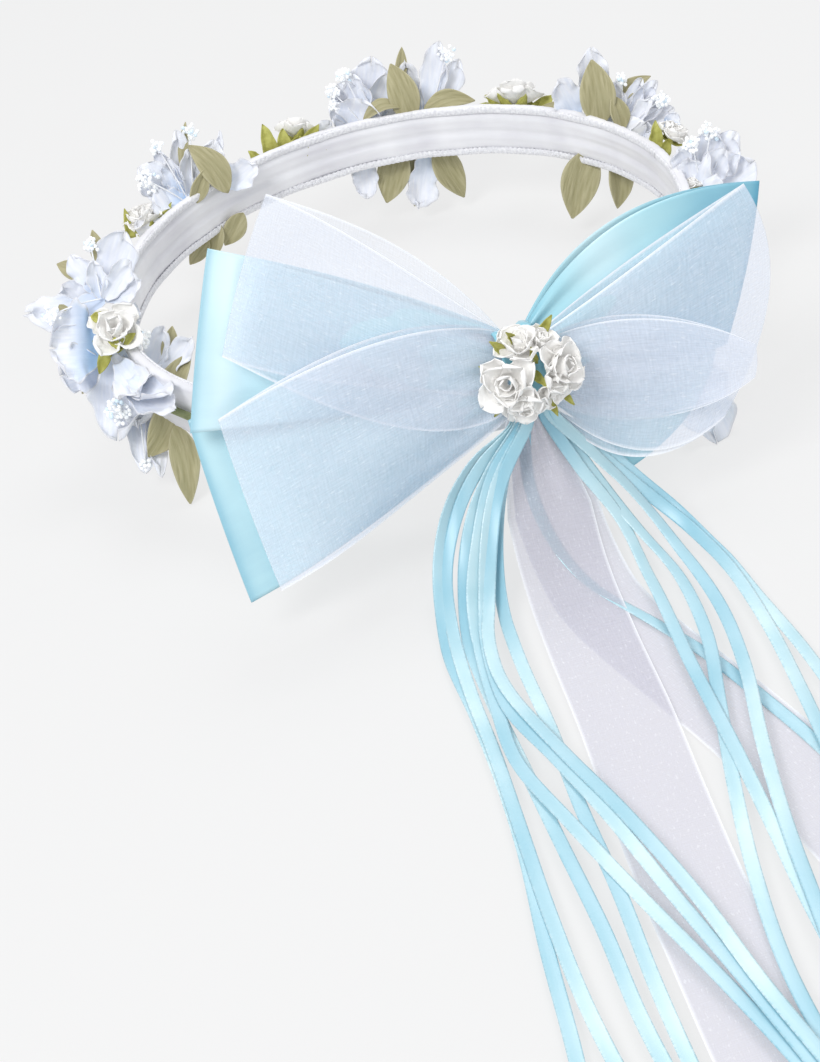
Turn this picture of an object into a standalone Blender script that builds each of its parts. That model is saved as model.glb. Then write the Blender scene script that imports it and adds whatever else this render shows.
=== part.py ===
"""A child's flower crown: a satin-covered head band dressed with cloth lilies, paper roses and
leaves, and tied with a satin and organza bow whose ribbons trail over the table.

Metres, +Z up. The crown lies on the plane z = 0 with the ring's axis upright and the bow at -Y.
The empty named crown stands on the ring's axis, and every piece is a child of it."""
import math

import bmesh
import bpy
from mathutils import Matrix, Vector

MM = 0.001
CLEARANCE = 0.0004

# Where the ring stands: its axis from the middle of the footprint, and its height off the table.
RING_AXIS_X = 0.0007
RING_AXIS_Y = 0.0056
BAND_CENTRE_Z = 0.030

# The head band.
RING_INNER_RADIUS = 0.081
BAND_HEIGHT = 0.016
SATIN_THICKNESS = 0.0006
CORE_THICKNESS = 0.0010
TRIM_HEIGHT = 0.0024
TRIM_THICKNESS = 0.0005
HOOP_WIRE_RADIUS = 0.0011
RING_STEPS = 48

# Cloth and paper blossoms.
PETAL_WALL = 0.0006
LEAF_THICKNESS = 0.0005
LEAF_HUB_RADIUS = 0.0025
BEAD_RADIUS = 0.0012
STALK_LENGTH = 0.012
CALYX_DEPTH = 0.0035

# The bow.
BOW_LEAN_DEG = 25
BOW_STAND_OFF = 0.0130
BOW_RISE = 0.017
LOOP_PINCH_WIDTH = 0.008
LOOP_THICKNESS = 0.0003
LOOP_PITCH = 0.0015
LOOP_PUFF = 0.0035
KNOT_WIDTH = 0.010
KNOT_HALF_DEPTH = 0.0045
KNOT_THICKNESS = 0.0006
TIE_WIRE_RADIUS = 0.0005

# Ribbons and tails that trail from the knot.
RIBBON_WIDTH = 0.0032
TAIL_WIDTH = 0.022
RIBBON_THICKNESS = 0.0002
LAYER_PITCH = 0.00055
RIBBON_TOP_Z = 0.035
RIBBON_TOP_FORWARD = 0.005
GATHERED_SHARE = 0.35
GATHER_RUN = 0.030
TABLE_GAP = 0.0008
RIBBON_STEP = 0.0080

# Band radii that follow from the sizes above.
COVER_OUTER_RADIUS = RING_INNER_RADIUS + 2 * SATIN_THICKNESS + CORE_THICKNESS + 2 * CLEARANCE
HOOP_RADIUS = COVER_OUTER_RADIUS + CLEARANCE + HOOP_WIRE_RADIUS
HUG_RADIUS = HOOP_RADIUS + HOOP_WIRE_RADIUS + 3 * CLEARANCE
BAND_LOW_Z = BAND_CENTRE_Z - BAND_HEIGHT / 2
BAND_HIGH_Z = BAND_CENTRE_Z + BAND_HEIGHT / 2

# Blossoms: name, degrees round the ring, stand-off from the hoop, height from the band's centre,
# rise and turn of the axis in degrees, length, rim radius.
LILIES = (
    ("lily_left_rear", 160, 0.0065, 0.011, 50, -8, 0.015, 0.018),
    ("lily_left", 181, 0.006, 0.005, 14, 0, 0.017, 0.014),
    ("lily_hanging", 196, 0.0070, -0.005, -48, 16, 0.019, 0.0085),
    ("lily_rear_left", 119, 0.0065, 0.009, 52, 0, 0.014, 0.016),
    ("lily_rear", 78, 0.0065, 0.010, 60, 0, 0.013, 0.017),
    ("lily_rear_right", 13, 0.0060, 0.010, 52, 0, 0.014, 0.016),
    ("lily_right", 341, 0.005, 0.009, 38, 0, 0.015, 0.016),
    ("lily_front_right", 306, 0.004, -0.0145, -12, 0, 0.017, 0.014),
)
STAMENS = ("lily_left_rear", "lily_rear_left", "lily_rear", "lily_rear_right")
# Paper roses: name, degrees, stand-off, height, rise, radius, has a calyx of its own.
ROSES = (
    ("rose_left", 186, 0.001, 0.0175, 75, 0.0080, True),
    ("rose_rear_left", 136, 0.006, 0.0085, 50, 0.0075, False),
    ("rose_rear", 92, 0.0085, 0.0085, 55, 0.0075, True),
    ("rose_rear_mid", 46, 0.0085, 0.0085, 55, 0.0075, True),
    ("rose_right", 358, 0.004, 0.0085, 50, 0.0070, False),
)
# Leaf sprays that hug the hoop: name, degrees, and per leaf (degrees from the tangent, length).
# A leaf with no length is as long as it takes to stand on the table.
LEAF_SPRAYS = (
    ("leaves_left", 203, ((60, 0.019), (-88, None), (-132, 0.022))),
    ("leaves_left_rear", 149, ((57, 0.027), (100, 0.026), (-95, None))),
    ("leaves_rear_left", 111, ((95, 0.027), (35, 0.022), (-54, 0.027), (-98, None))),
    ("leaves_rear", 66, ((85, 0.030), (150, 0.022), (-50, 0.026), (-80, None), (-118, 0.028))),
    ("leaves_rear_right", 29, ((88, 0.029), (130, 0.026), (-72, None), (-108, 0.025))),
)

# Bow loops: name, side (-1 left, +1 right), direction in degrees above the bow's own level, reach,
# width, layer at the knot from the back, depth of the loop's middle out at its fold.
BOW_LOOPS = (
    ("satin_loop_left_upper", -1, 24, 0.081, 0.046, 0, -0.0115),
    ("satin_loop_left_lower", -1, -5, 0.084, 0.046, 1, -0.0035),
    ("organza_loop_left_upper", -1, 30, 0.073, 0.053, 2, 0.0045),
    ("organza_loop_left_lower", -1, -5, 0.077, 0.045, 3, 0.0125),
    ("satin_loop_right_upper", 1, 4, 0.076, 0.050, 1, -0.0045),
    ("satin_loop_right_lower", 1, -38, 0.047, 0.034, 0, -0.0145),
    ("organza_loop_right_upper", 1, 1, 0.068, 0.051, 2, 0.0045),
    ("organza_loop_right_lower", 1, -20, 0.059, 0.028, 3, 0.0125),
)

# Rosette roses on the knot: name, across and up the bow's face, radius.
ROSETTE = (
    ("rosette_rose_1", -0.0075, 0.0060, 0.0066),
    ("rosette_rose_2", 0.0070, 0.0075, 0.0062),
    ("rosette_rose_3", -0.0065, -0.0080, 0.0066),
    ("rosette_rose_4", 0.0080, -0.0065, 0.0066),
)

# Routes in millimetres: across from the knot, then along the cloth's run from the knot.
# Each has a layer, counted up from the table, so that crossing ribbons lie over each other.
RIBBON_ROUTES = {
    "ribbon_left_1": (3, (-8, 0), (-18, 5), (-27, 14), (-34, 26), (-39, 40), (-43, 57), (-45, 80),
                      (-48, 104), (-52, 127), (-58, 153), (-63, 178), (-69, 205), (-73, 230)),
    "ribbon_left_2": (4, (-7, 0), (-17, 7), (-26, 17), (-34, 31), (-39, 48), (-43, 70), (-46, 94),
                      (-50, 120), (-54, 146), (-57, 172), (-58, 200), (-58, 230)),
    "ribbon_left_3": (5, (-7, 0), (-16, 10), (-24, 21), (-31, 35), (-37, 54), (-40, 77), (-42, 102),
                      (-44, 128), (-46, 155), (-49, 181), (-50, 208), (-50, 235)),
    "ribbon_left_4": (7, (-6, 0), (-15, 10), (-23, 24), (-31, 41), (-36, 60), (-40, 80), (-43, 101),
                      (-40, 125), (-36, 151), (-31, 180), (-27, 208), (-24, 235)),
    "ribbon_left_5": (8, (-5, 0), (-15, 13), (-23, 29), (-31, 50), (-36, 68), (-38, 85), (-35, 105),
                      (-32, 128), (-30, 154), (-27, 186), (-25, 212), (-24, 236)),
    "ribbon_left_6": (6, (-5, 0), (-12, 11), (-19, 27), (-25, 46), (-29, 68), (-32, 94), (-36, 120),
                      (-39, 147), (-43, 174), (-46, 201), (-48, 228)),
    "ribbon_left_7": (9, (-5, 0), (-14, 13), (-21, 28), (-28, 45), (-34, 62), (-36, 79), (-33, 104),
                      (-29, 129), (-26, 158), (-25, 184), (-23, 210), (-22, 236)),
    "ribbon_right_1": (3, (4, 0), (12, 9), (20, 23), (27, 38), (30, 55), (30, 75), (30, 98),
                       (28, 124), (24, 150), (19, 178), (14, 205)),
    "ribbon_right_2": (4, (4, 0), (12, 13), (20, 27), (27, 43), (29, 61), (27, 85), (23, 109),
                       (18, 134), (12, 160), (6, 188), (2, 214)),
    "ribbon_right_3": (7, (4, 0), (11, 13), (18, 29), (21, 47), (20, 74), (15, 98), (7, 122),
                       (0, 146), (-5, 167), (-10, 190), (-14, 216)),
    "ribbon_right_4": (5, (3, 0), (9, 16), (15, 38), (17, 57), (13, 82), (5, 105), (-4, 130),
                       (-12, 155), (-18, 180), (-21, 205), (-23, 230)),
    "ribbon_right_5": (6, (2, 0), (7, 16), (12, 35), (10, 59), (5, 90), (1, 120), (-3, 146),
                       (-7, 171), (-10, 198), (-12, 226)),
    "ribbon_middle": (1, (-3, 0), (-6, 18), (-5, 36), (-1, 52), (5, 69), (11, 88), (15, 108),
                      (18, 127), (20, 150), (20, 175), (18, 198)),
}
TAIL_ROUTES = {
    "organza_tail_left": (2, (-3, 0), (-3, 20), (-6, 40), (-11, 70), (-15, 97), (-20, 125),
                          (-24, 149), (-27, 172), (-30, 196), (-32, 220)),
    "organza_tail_right": (0, (0, 0), (-1, 20), (-2, 38), (-2, 60), (3, 88), (7, 108), (10, 127),
                           (12, 150), (14, 175), (15, 195)),
}


def clear_scene():
    for obj in list(bpy.data.objects):
        bpy.data.objects.remove(obj, do_unlink=True)


def material(name, colour, roughness, alpha=1.0):
    """A Principled material, made once for each name."""
    made = bpy.data.materials.get(name)
    if made is not None:
        return made
    made = bpy.data.materials.new(name)
    made.use_nodes = True
    shader = made.node_tree.nodes["Principled BSDF"]
    shader.inputs["Base Color"].default_value = (*colour, 1.0)
    shader.inputs["Roughness"].default_value = roughness
    shader.inputs["Metallic"].default_value = 0.0
    shader.inputs["Alpha"].default_value = alpha
    return made


def white_satin():
    return material("white_satin", (0.80, 0.80, 0.86), 0.35)


def turquoise_satin():
    return material("turquoise_satin", (0.25, 0.62, 0.74), 0.35)


def organza():
    return material("organza", (0.78, 0.80, 0.88), 0.55, 0.5)


def petal_cloth():
    return material("petal_cloth", (0.68, 0.76, 0.90), 0.6)


def white_paper():
    return material("white_paper", (0.88, 0.87, 0.83), 0.8)


def leaf_cloth():
    return material("leaf_cloth", (0.36, 0.32, 0.16), 0.7)


def calyx_paper():
    return material("calyx_paper", (0.45, 0.44, 0.12), 0.75)


def pearl():
    return material("pearl", (0.88, 0.90, 0.93), 0.3)


def green_tape():
    return material("green_tape", (0.20, 0.26, 0.12), 0.8)


def steel_wire():
    material_made = material("steel_wire", (0.6, 0.6, 0.62), 0.35)
    material_made.node_tree.nodes["Principled BSDF"].inputs["Metallic"].default_value = 1.0
    return material_made


def add_piece(name, mesh_builder, mat, crown, place=None):
    """Turn a finished bmesh into a named object on the crown's empty."""
    bmesh.ops.triangulate(mesh_builder, faces=mesh_builder.faces, quad_method="SHORT_EDGE")
    bmesh.ops.recalc_face_normals(mesh_builder, faces=mesh_builder.faces)
    mesh = bpy.data.meshes.new(name)
    mesh_builder.to_mesh(mesh)
    mesh_builder.free()
    mesh.shade_smooth()
    mesh.set_sharp_from_angle(angle=math.radians(40))
    mesh.materials.append(mat)
    obj = bpy.data.objects.new(name, mesh)
    bpy.context.scene.collection.objects.link(obj)
    obj.parent = crown
    if place is not None:
        obj.matrix_local = place
    return obj


def skin(sections, closed=False, end_points=None):
    """A closed solid over a row of sections with equal corner counts. An open row ends in faces,
    or in fans to the two end points where they are given."""
    bm = bmesh.new()
    rings = [[bm.verts.new(corner) for corner in section] for section in sections]
    pairs = list(zip(rings, rings[1:]))
    if closed:
        pairs.append((rings[-1], rings[0]))
    for low, high in pairs:
        for i in range(len(low)):
            j = (i + 1) % len(low)
            bm.faces.new((low[i], low[j], high[j], high[i]))
    if closed:
        return bm
    for ring, k in ((rings[0], 0), (rings[-1], 1)):
        if end_points is None:
            bm.faces.new(ring)
            continue
        tip = bm.verts.new(end_points[k])
        for i in range(len(ring)):
            bm.faces.new((ring[i], ring[(i + 1) % len(ring)], tip))
    return bm


def turn_profile(profile, steps=RING_STEPS):
    """Sections of a closed ring: the (radius, z) profile at each step round the axis."""
    sections = []
    for k in range(steps):
        angle = math.tau * k / steps
        sections.append([(r * math.cos(angle), r * math.sin(angle), z) for r, z in profile])
    return sections


def round_profile(radius, z, wire_radius, corners=8):
    angles = [math.tau * k / corners for k in range(corners)]
    return [(radius + wire_radius * math.cos(a), z + wire_radius * math.sin(a)) for a in angles]


def ring_place(degrees, radius, z):
    angle = math.radians(degrees)
    return Vector((radius * math.cos(angle), radius * math.sin(angle), z))


def outward_axis(degrees, rise, turn):
    """A direction that leaves the ring at these degrees, raised and turned sideways."""
    radial = ring_place(degrees, 1.0, 0.0)
    tangent = Vector((-radial.y, radial.x, 0.0))
    level = radial * math.cos(math.radians(turn)) + tangent * math.sin(math.radians(turn))
    return level * math.cos(math.radians(rise)) + Vector((0, 0, 1)) * math.sin(math.radians(rise))


def aim(point, direction):
    return Matrix.Translation(point) @ direction.to_track_quat("Z", "Y").to_matrix().to_4x4()


def blossom_place(degrees, stand_off, height, rise, turn=0.0):
    point = ring_place(degrees, HOOP_RADIUS + HOOP_WIRE_RADIUS + stand_off, BAND_CENTRE_Z + height)
    return aim(point, outward_axis(degrees, rise, turn))


def make_band(crown):
    inner = RING_INNER_RADIUS
    low, high = BAND_LOW_Z, BAND_HIGH_Z
    wall = SATIN_THICKNESS
    outer = COVER_OUTER_RADIUS
    cover = ((inner, low), (inner, high), (outer, high), (outer, low),
             (outer - wall, low), (outer - wall, high - wall), (inner + wall, high - wall), (inner + wall, low))
    add_piece("satin_cover", skin(turn_profile(cover), closed=True), white_satin(), crown)

    core_in = inner + wall + CLEARANCE
    core_out = core_in + CORE_THICKNESS
    core_low = low + CLEARANCE
    core_high = high - wall - CLEARANCE
    core = ((core_in, core_low), (core_in, core_high), (core_out, core_high), (core_out, core_low))
    stiffener = material("stiff_core", (0.75, 0.74, 0.70), 0.7)
    add_piece("band_core", skin(turn_profile(core), closed=True), stiffener, crown)

    trim_out = inner - CLEARANCE
    trim_in = trim_out - TRIM_THICKNESS
    for name, z0 in (("edge_trim_lower", low), ("edge_trim_upper", high - TRIM_HEIGHT)):
        z1 = z0 + TRIM_HEIGHT
        trim = ((trim_in, z0), (trim_in, z1), (trim_out, z1), (trim_out, z0))
        add_piece(name, skin(turn_profile(trim), closed=True), white_satin(), crown)

    hoop = round_profile(HOOP_RADIUS, BAND_CENTRE_Z, HOOP_WIRE_RADIUS)
    add_piece("flower_hoop", skin(turn_profile(hoop), closed=True), green_tape(), crown)


def cup_sections(profile, lobes, notch, corners_per_lobe=4):
    """Rings of a lobed cup. The profile is (radius, height, how far the lobes show)."""
    corners = lobes * corners_per_lobe
    sections = []
    for radius, height, lobed in profile:
        ring = []
        for k in range(corners):
            angle = math.tau * k / corners
            crest = abs(math.cos(lobes * angle / 2)) ** 0.8
            reach = 1.0 - notch * lobed * (1.0 - crest)
            ring.append((radius * reach * math.cos(angle), radius * reach * math.sin(angle), height * reach))
        sections.append(ring)
    return sections


def lily_mesh(length, rim):
    """A trumpet of six petals, open at the mouth, with a flat throat floor."""
    throat = 0.0038
    outside = ((throat, 0.0, 0), (throat + 0.0008, 0.30 * length, 0), (0.62 * rim, 0.72 * length, 0.4),
               (rim, length, 1.0))
    inside = [(r - PETAL_WALL, h + PETAL_WALL * 0.7, lobed) for r, h, lobed in reversed(outside)]
    sections = cup_sections(outside, 6, 0.32) + cup_sections(inside, 6, 0.32)
    return skin(sections, end_points=((0, 0, 0), (0, 0, PETAL_WALL)))


def grow(bm, face, steps):
    """Extrude one face outward again and again: each step is (distance, scale)."""
    for distance, scale in steps:
        face = bmesh.ops.extrude_discrete_faces(bm, faces=[face])["faces"][0]
        centre = face.calc_center_median()
        shift = face.normal * distance
        for vert in face.verts:
            vert.co = centre + (vert.co - centre) * scale + shift
        face.normal_update()


def stamens_mesh():
    """A small hub with a few stalks, each of which ends in a bead."""
    hub_radius = 0.0022
    bm = bmesh.new()
    bmesh.ops.create_icosphere(bm, subdivisions=2, radius=hub_radius)
    bead = BEAD_RADIUS / 0.0005
    steps = ((0.0008, 0.5), (STALK_LENGTH, 0.9), (BEAD_RADIUS, bead), (BEAD_RADIUS, 1.0), (BEAD_RADIUS * 0.8, 0.4))
    wanted = [Vector((0, 0, 1))]
    for k in range(5):
        angle = math.tau * k / 5
        wanted.append(Vector((0.42 * math.cos(angle), 0.42 * math.sin(angle), 0.9)).normalized())
    chosen = []
    for direction in wanted:
        bm.faces.ensure_lookup_table()
        face = max(bm.faces, key=lambda f: f.normal.dot(direction))
        if face not in chosen:
            chosen.append(face)
    for face in chosen:
        grow(bm, face, steps)
    return bm


def rose_mesh(radius, rings=6, corners=15):
    """A squat paper rose: a closed round with five soft folds that turn towards the crown."""
    sections = []
    for i in range(rings):
        polar = math.pi * (i + 1) / (rings + 1)
        height = -radius * 0.7 * math.cos(polar)
        ring = []
        for k in range(corners):
            angle = math.tau * k / corners
            fold = 1.0 - 0.12 * (0.5 + 0.5 * math.cos(5 * angle + 2.2 * i))
            reach = radius * math.sin(polar) ** 0.7 * fold
            ring.append((reach * math.cos(angle), reach * math.sin(angle), height))
        sections.append(ring)
    return skin(sections, end_points=((0, 0, -radius * 0.66), (0, 0, radius * 0.55)))


def calyx_mesh(radius):
    """A shallow cup with five pointed lobes, which the rose sits in."""
    reach = radius * 1.25
    outside = ((0.3 * reach, 0.0, 0), (0.7 * reach, 0.35 * CALYX_DEPTH, 0.3), (reach, CALYX_DEPTH, 1.0))
    inside = [(r - 0.0004, h + PETAL_WALL, lobed) for r, h, lobed in reversed(outside)]
    sections = cup_sections(outside, 5, 0.30) + cup_sections(inside, 5, 0.30)
    return skin(sections, end_points=((0, 0, 0), (0, 0, PETAL_WALL)))


def leaf_outline(leaves, angle):
    """How far a spray of leaves reaches from its hub in one direction."""
    reach = LEAF_HUB_RADIUS
    for degrees, length in leaves:
        off = math.remainder(angle - math.radians(degrees), math.tau)
        half_width = math.radians(19)
        if abs(off) < half_width:
            reach = max(reach, length * (1.0 - (off / half_width) ** 2) ** 0.45)
    return reach


def leaves_mesh(leaves, base_degrees):
    """A thin spray of leaves wound round the ring's side, with its hub on the hoop."""
    angles = set()
    for degrees, _ in leaves:
        for part in (-1.0, -0.8, -0.45, 0.0, 0.45, 0.8, 1.0):
            angles.add(round((degrees + 19 * part) % 360, 3))
    ordered = sorted(angles)

    def on_ring(angle, reach, radius):
        across = reach * math.cos(angle)
        up = reach * math.sin(angle)
        flare = 0.10 * reach
        around = math.radians(base_degrees) + across / radius
        out = radius + flare
        return (out * math.cos(around), out * math.sin(around), BAND_CENTRE_Z + up)

    outer_radius = HUG_RADIUS + LEAF_THICKNESS
    sections = []
    for radius, share in ((HUG_RADIUS, 0.45), (HUG_RADIUS, 1.0), (outer_radius, 1.0), (outer_radius, 0.45)):
        ring = []
        for degrees in ordered:
            angle = math.radians(degrees)
            ring.append(on_ring(angle, share * leaf_outline(leaves, angle), radius))
        sections.append(ring)
    tips = (on_ring(0, 0, HUG_RADIUS), on_ring(0, 0, outer_radius))
    return skin(sections, end_points=tips)


def make_flowers(crown):
    places = {}
    for name, degrees, stand_off, height, rise, turn, length, rim in LILIES:
        places[name] = blossom_place(degrees, stand_off, height, rise, turn)
        add_piece(name, lily_mesh(length, rim), petal_cloth(), crown, places[name])
    for name in STAMENS:
        lift = Matrix.Translation((0, 0, PETAL_WALL + CLEARANCE + 0.0022))
        add_piece(name.replace("lily", "stamens"), stamens_mesh(), pearl(), crown, places[name] @ lift)
    for name, degrees, stand_off, height, rise, radius, has_calyx in ROSES:
        place = blossom_place(degrees, stand_off, height, rise)
        add_piece(name, rose_mesh(radius), white_paper(), crown, place)
        if has_calyx:
            under = Matrix.Translation((0, 0, -0.7 * radius - PETAL_WALL - 4 * CLEARANCE))
            name = name.replace("rose", "calyx")
            add_piece(name, calyx_mesh(radius), calyx_paper(), crown, place @ under)
    for name, degrees, leaves in LEAF_SPRAYS:
        standing = [(turn, length or -BAND_CENTRE_Z / math.sin(math.radians(turn))) for turn, length in leaves]
        add_piece(name, leaves_mesh(standing, degrees), leaf_cloth(), crown)


def bow_frame():
    """The bow's own frame: X across, Y up its leaning face, Z out of it towards the viewer."""
    lean = math.radians(BOW_LEAN_DEG)
    across = Vector((1, 0, 0))
    up = Vector((0, math.sin(lean), math.cos(lean)))
    out = across.cross(up)
    knot = Vector((0, -(COVER_OUTER_RADIUS + BOW_STAND_OFF), BAND_CENTRE_Z + BOW_RISE))
    turned = Matrix((across, up, out)).transposed().to_4x4()
    return Matrix.Translation(knot) @ turned


def smooth_step(value):
    value = min(max(value, 0.0), 1.0)
    return value * value * (3 - 2 * value)


def loop_mesh(side, degrees, reach, width, layer, fold_depth, steps=16):
    """A ribbon that leaves the knot, folds back at its reach and comes home in front of itself."""
    direction = Vector((side * math.cos(math.radians(degrees)), math.sin(math.radians(degrees)), 0))
    edge = Vector((-direction.y, direction.x, 0))
    knot_depth = (layer - 1.5) * LOOP_PITCH
    slope = math.radians(abs(degrees))
    start = LOOP_PINCH_WIDTH / 2 * math.tan(slope) + CLEARANCE
    root = KNOT_WIDTH / 2 / math.cos(slope) + LOOP_PINCH_WIDTH / 2 * math.tan(slope) + CLEARANCE
    centre_line = []
    for k in range(steps + 1):
        t = k / steps
        along = start + (reach - start) * (1 - math.cos(math.tau * t)) / 2
        spread = smooth_step((along - root) / (0.8 * reach))
        middle = knot_depth + (fold_depth - knot_depth) * spread
        puff = LOOP_PITCH * 0.22 + LOOP_PUFF * spread * math.sin(math.pi * t)
        centre_line.append((along, middle - puff * math.cos(math.pi * t)))
    sections = []
    for k, (along, depth) in enumerate(centre_line):
        before = centre_line[max(k - 1, 0)]
        after = centre_line[min(k + 1, steps)]
        run = Vector((after[0] - before[0], after[1] - before[1])).normalized()
        normal = direction * -run.y + Vector((0, 0, 1)) * run.x
        opening = min(max((along - root) / (0.75 * reach), 0.0), 1.0) ** 0.85
        half = (LOOP_PINCH_WIDTH + (width - LOOP_PINCH_WIDTH) * opening) / 2
        middle = direction * along + Vector((0, 0, depth))
        rise = normal * (LOOP_THICKNESS / 2)
        sections.append([middle + edge * half + rise, middle - edge * half + rise,
                         middle - edge * half - rise, middle + edge * half - rise])
    return skin(sections)


def make_bow(crown):
    frame = bow_frame()
    for name, side, degrees, reach, width, layer, fold_depth in BOW_LOOPS:
        cloth = turquoise_satin() if name.startswith("satin") else organza()
        mesh = loop_mesh(side, degrees, reach, width, layer, fold_depth)
        add_piece(name, mesh, cloth, crown, frame)

    sections = []
    half_height = 0.0
    for _, _, degrees, *_ in BOW_LOOPS:
        slope = math.radians(abs(degrees))
        edge_height = KNOT_WIDTH / 2 * math.tan(slope) + LOOP_PINCH_WIDTH / 2 / math.cos(slope)
        half_height = max(half_height, edge_height + 4 * CLEARANCE)
    for k in range(24):
        angle = math.tau * k / 24
        squared = (abs(math.cos(angle)) ** 4 + abs(math.sin(angle)) ** 4) ** -0.25
        up = half_height * math.cos(angle) * squared
        out = KNOT_HALF_DEPTH * math.sin(angle) * squared
        grown = (1 + KNOT_THICKNESS / half_height, 1 + KNOT_THICKNESS / KNOT_HALF_DEPTH)
        half = KNOT_WIDTH / 2
        sections.append([(-half, up, out), (half, up, out),
                         (half, up * grown[0], out * grown[1]), (-half, up * grown[0], out * grown[1])])
    add_piece("knot_band", skin(sections, closed=True), turquoise_satin(), crown, frame)

    rose_depth = KNOT_HALF_DEPTH + KNOT_THICKNESS + CALYX_DEPTH + 0.0055
    for name, across, up, radius in ROSETTE:
        tilt = Vector((across * 30, up * 30, 1)).normalized()
        place = frame @ aim(Vector((across, up, rose_depth)), tilt)
        add_piece(name, rose_mesh(radius), white_paper(), crown, place)
    calyx_depth = KNOT_HALF_DEPTH + KNOT_THICKNESS + CLEARANCE
    place = frame @ Matrix.Translation((0, 0, calyx_depth))
    add_piece("rosette_calyx", calyx_mesh(0.0062), calyx_paper(), crown, place)

    make_tie_wire(crown)


def make_tie_wire(crown):
    """A wire bound round the band and the hoop where the bow sits."""
    inside = RING_INNER_RADIUS - CLEARANCE - TRIM_THICKNESS - CLEARANCE - TIE_WIRE_RADIUS
    outside = COVER_OUTER_RADIUS + BOW_STAND_OFF - KNOT_HALF_DEPTH - KNOT_THICKNESS - 2 * CLEARANCE
    low = BAND_LOW_Z - 5 * CLEARANCE - TIE_WIRE_RADIUS
    high = BAND_CENTRE_Z + BOW_RISE - 2 * CLEARANCE
    middle = (inside + outside) / 2
    half_depth = (outside - inside) / 2
    sections = []
    for k in range(28):
        angle = math.tau * k / 28
        squared = (abs(math.cos(angle)) ** 8 + abs(math.sin(angle)) ** 8) ** -0.125
        y = -(middle + half_depth * math.cos(angle) * squared)
        z = (low + high) / 2 + (high - low) / 2 * math.sin(angle) * squared
        away = Vector((0, -math.cos(angle), math.sin(angle)))
        ring = []
        for j in range(6):
            turn = math.tau * j / 6
            side = Vector((1, 0, 0)) * math.cos(turn) + away * math.sin(turn)
            ring.append(Vector((0, y, z)) + side * TIE_WIRE_RADIUS)
        sections.append(ring)
    add_piece("bow_tie_wire", skin(sections, closed=True), steel_wire(), crown)


def drape(across, run, lift):
    """The cloth's lie: a quarter round down from the knot, then flat on the table. Gives the point
    and the surface's outward direction."""
    knot = bow_frame().translation
    top_y = knot.y - RIBBON_TOP_FORWARD
    drop = RIBBON_TOP_Z - TABLE_GAP
    if run < drop * math.pi / 2:
        turn = run / drop
        y = top_y - drop * (1 - math.cos(turn))
        z = RIBBON_TOP_Z - drop * math.sin(turn)
        out = Vector((0, -math.cos(turn), math.sin(turn)))
    else:
        y = top_y - drop - (run - drop * math.pi / 2)
        z = TABLE_GAP
        out = Vector((0, 0, 1))
    return Vector((across, y, z)) + out * lift, out


def smooth_route(points, step):
    """Evenly spaced points on a smooth curve through the route's own points."""
    ends = [2 * points[0] - points[1]] + points + [2 * points[-1] - points[-2]]
    fine = []
    for a, b, c, d in zip(ends, ends[1:], ends[2:], ends[3:]):
        for k in range(12):
            t = k / 12
            bend = (2 * a - 5 * b + 4 * c - d) * t * t + (3 * b - 3 * c + d - a) * t * t * t
            fine.append(b + ((c - a) * t + bend) / 2)
    fine.append(points[-1])
    lengths = [0.0]
    for a, b in zip(fine, fine[1:]):
        lengths.append(lengths[-1] + (b - a).length)
    count = max(2, round(lengths[-1] / step))
    spaced = []
    i = 0
    for k in range(count + 1):
        wanted = lengths[-1] * k / count
        while i < len(fine) - 2 and lengths[i + 1] < wanted:
            i += 1
        share = (wanted - lengths[i]) / (lengths[i + 1] - lengths[i])
        spaced.append(fine[i].lerp(fine[i + 1], min(share, 1.0)))
    return spaced


def trailing_mesh(layer, route, width, gathered=0.0):
    points = [Vector((across * MM, run * MM)) for across, run in route]
    line = []
    for across, run in smooth_route(points, RIBBON_STEP):
        line.append(drape(across, max(run, 0.0), layer * LAYER_PITCH))
    sections = []
    for k, (point, out) in enumerate(line):
        ahead = line[min(k + 1, len(line) - 1)][0] - line[max(k - 1, 0)][0]
        opened = 1.0 - gathered * (1.0 - smooth_step(k * RIBBON_STEP / GATHER_RUN))
        side = out.cross(ahead).normalized() * (width * opened / 2)
        rise = out * (RIBBON_THICKNESS / 2)
        sections.append([point + side + rise, point - side + rise, point - side - rise, point + side - rise])
    return skin(sections)


def make_trailing_cloth(crown):
    for name, (layer, *route) in RIBBON_ROUTES.items():
        add_piece(name, trailing_mesh(layer, route, RIBBON_WIDTH), turquoise_satin(), crown)
    for name, (layer, *route) in TAIL_ROUTES.items():
        add_piece(name, trailing_mesh(layer, route, TAIL_WIDTH, 1.0 - GATHERED_SHARE), organza(), crown)


def make_crown():
    clear_scene()
    crown = bpy.data.objects.new("crown", None)
    crown.location = (RING_AXIS_X, RING_AXIS_Y, 0.0)
    bpy.context.scene.collection.objects.link(crown)
    make_band(crown)
    make_flowers(crown)
    make_bow(crown)
    make_trailing_cloth(crown)


make_crown()
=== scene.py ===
"""The finished look of a child's flower crown: a white satin band dressed with cloth lilies, paper
roses, bead sprays and leaves, and tied with a turquoise satin and white organza bow whose thin
ribbons and organza tails trail over the table."""
import math

import bpy
import numpy as np
from mathutils import Matrix, Vector


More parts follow.
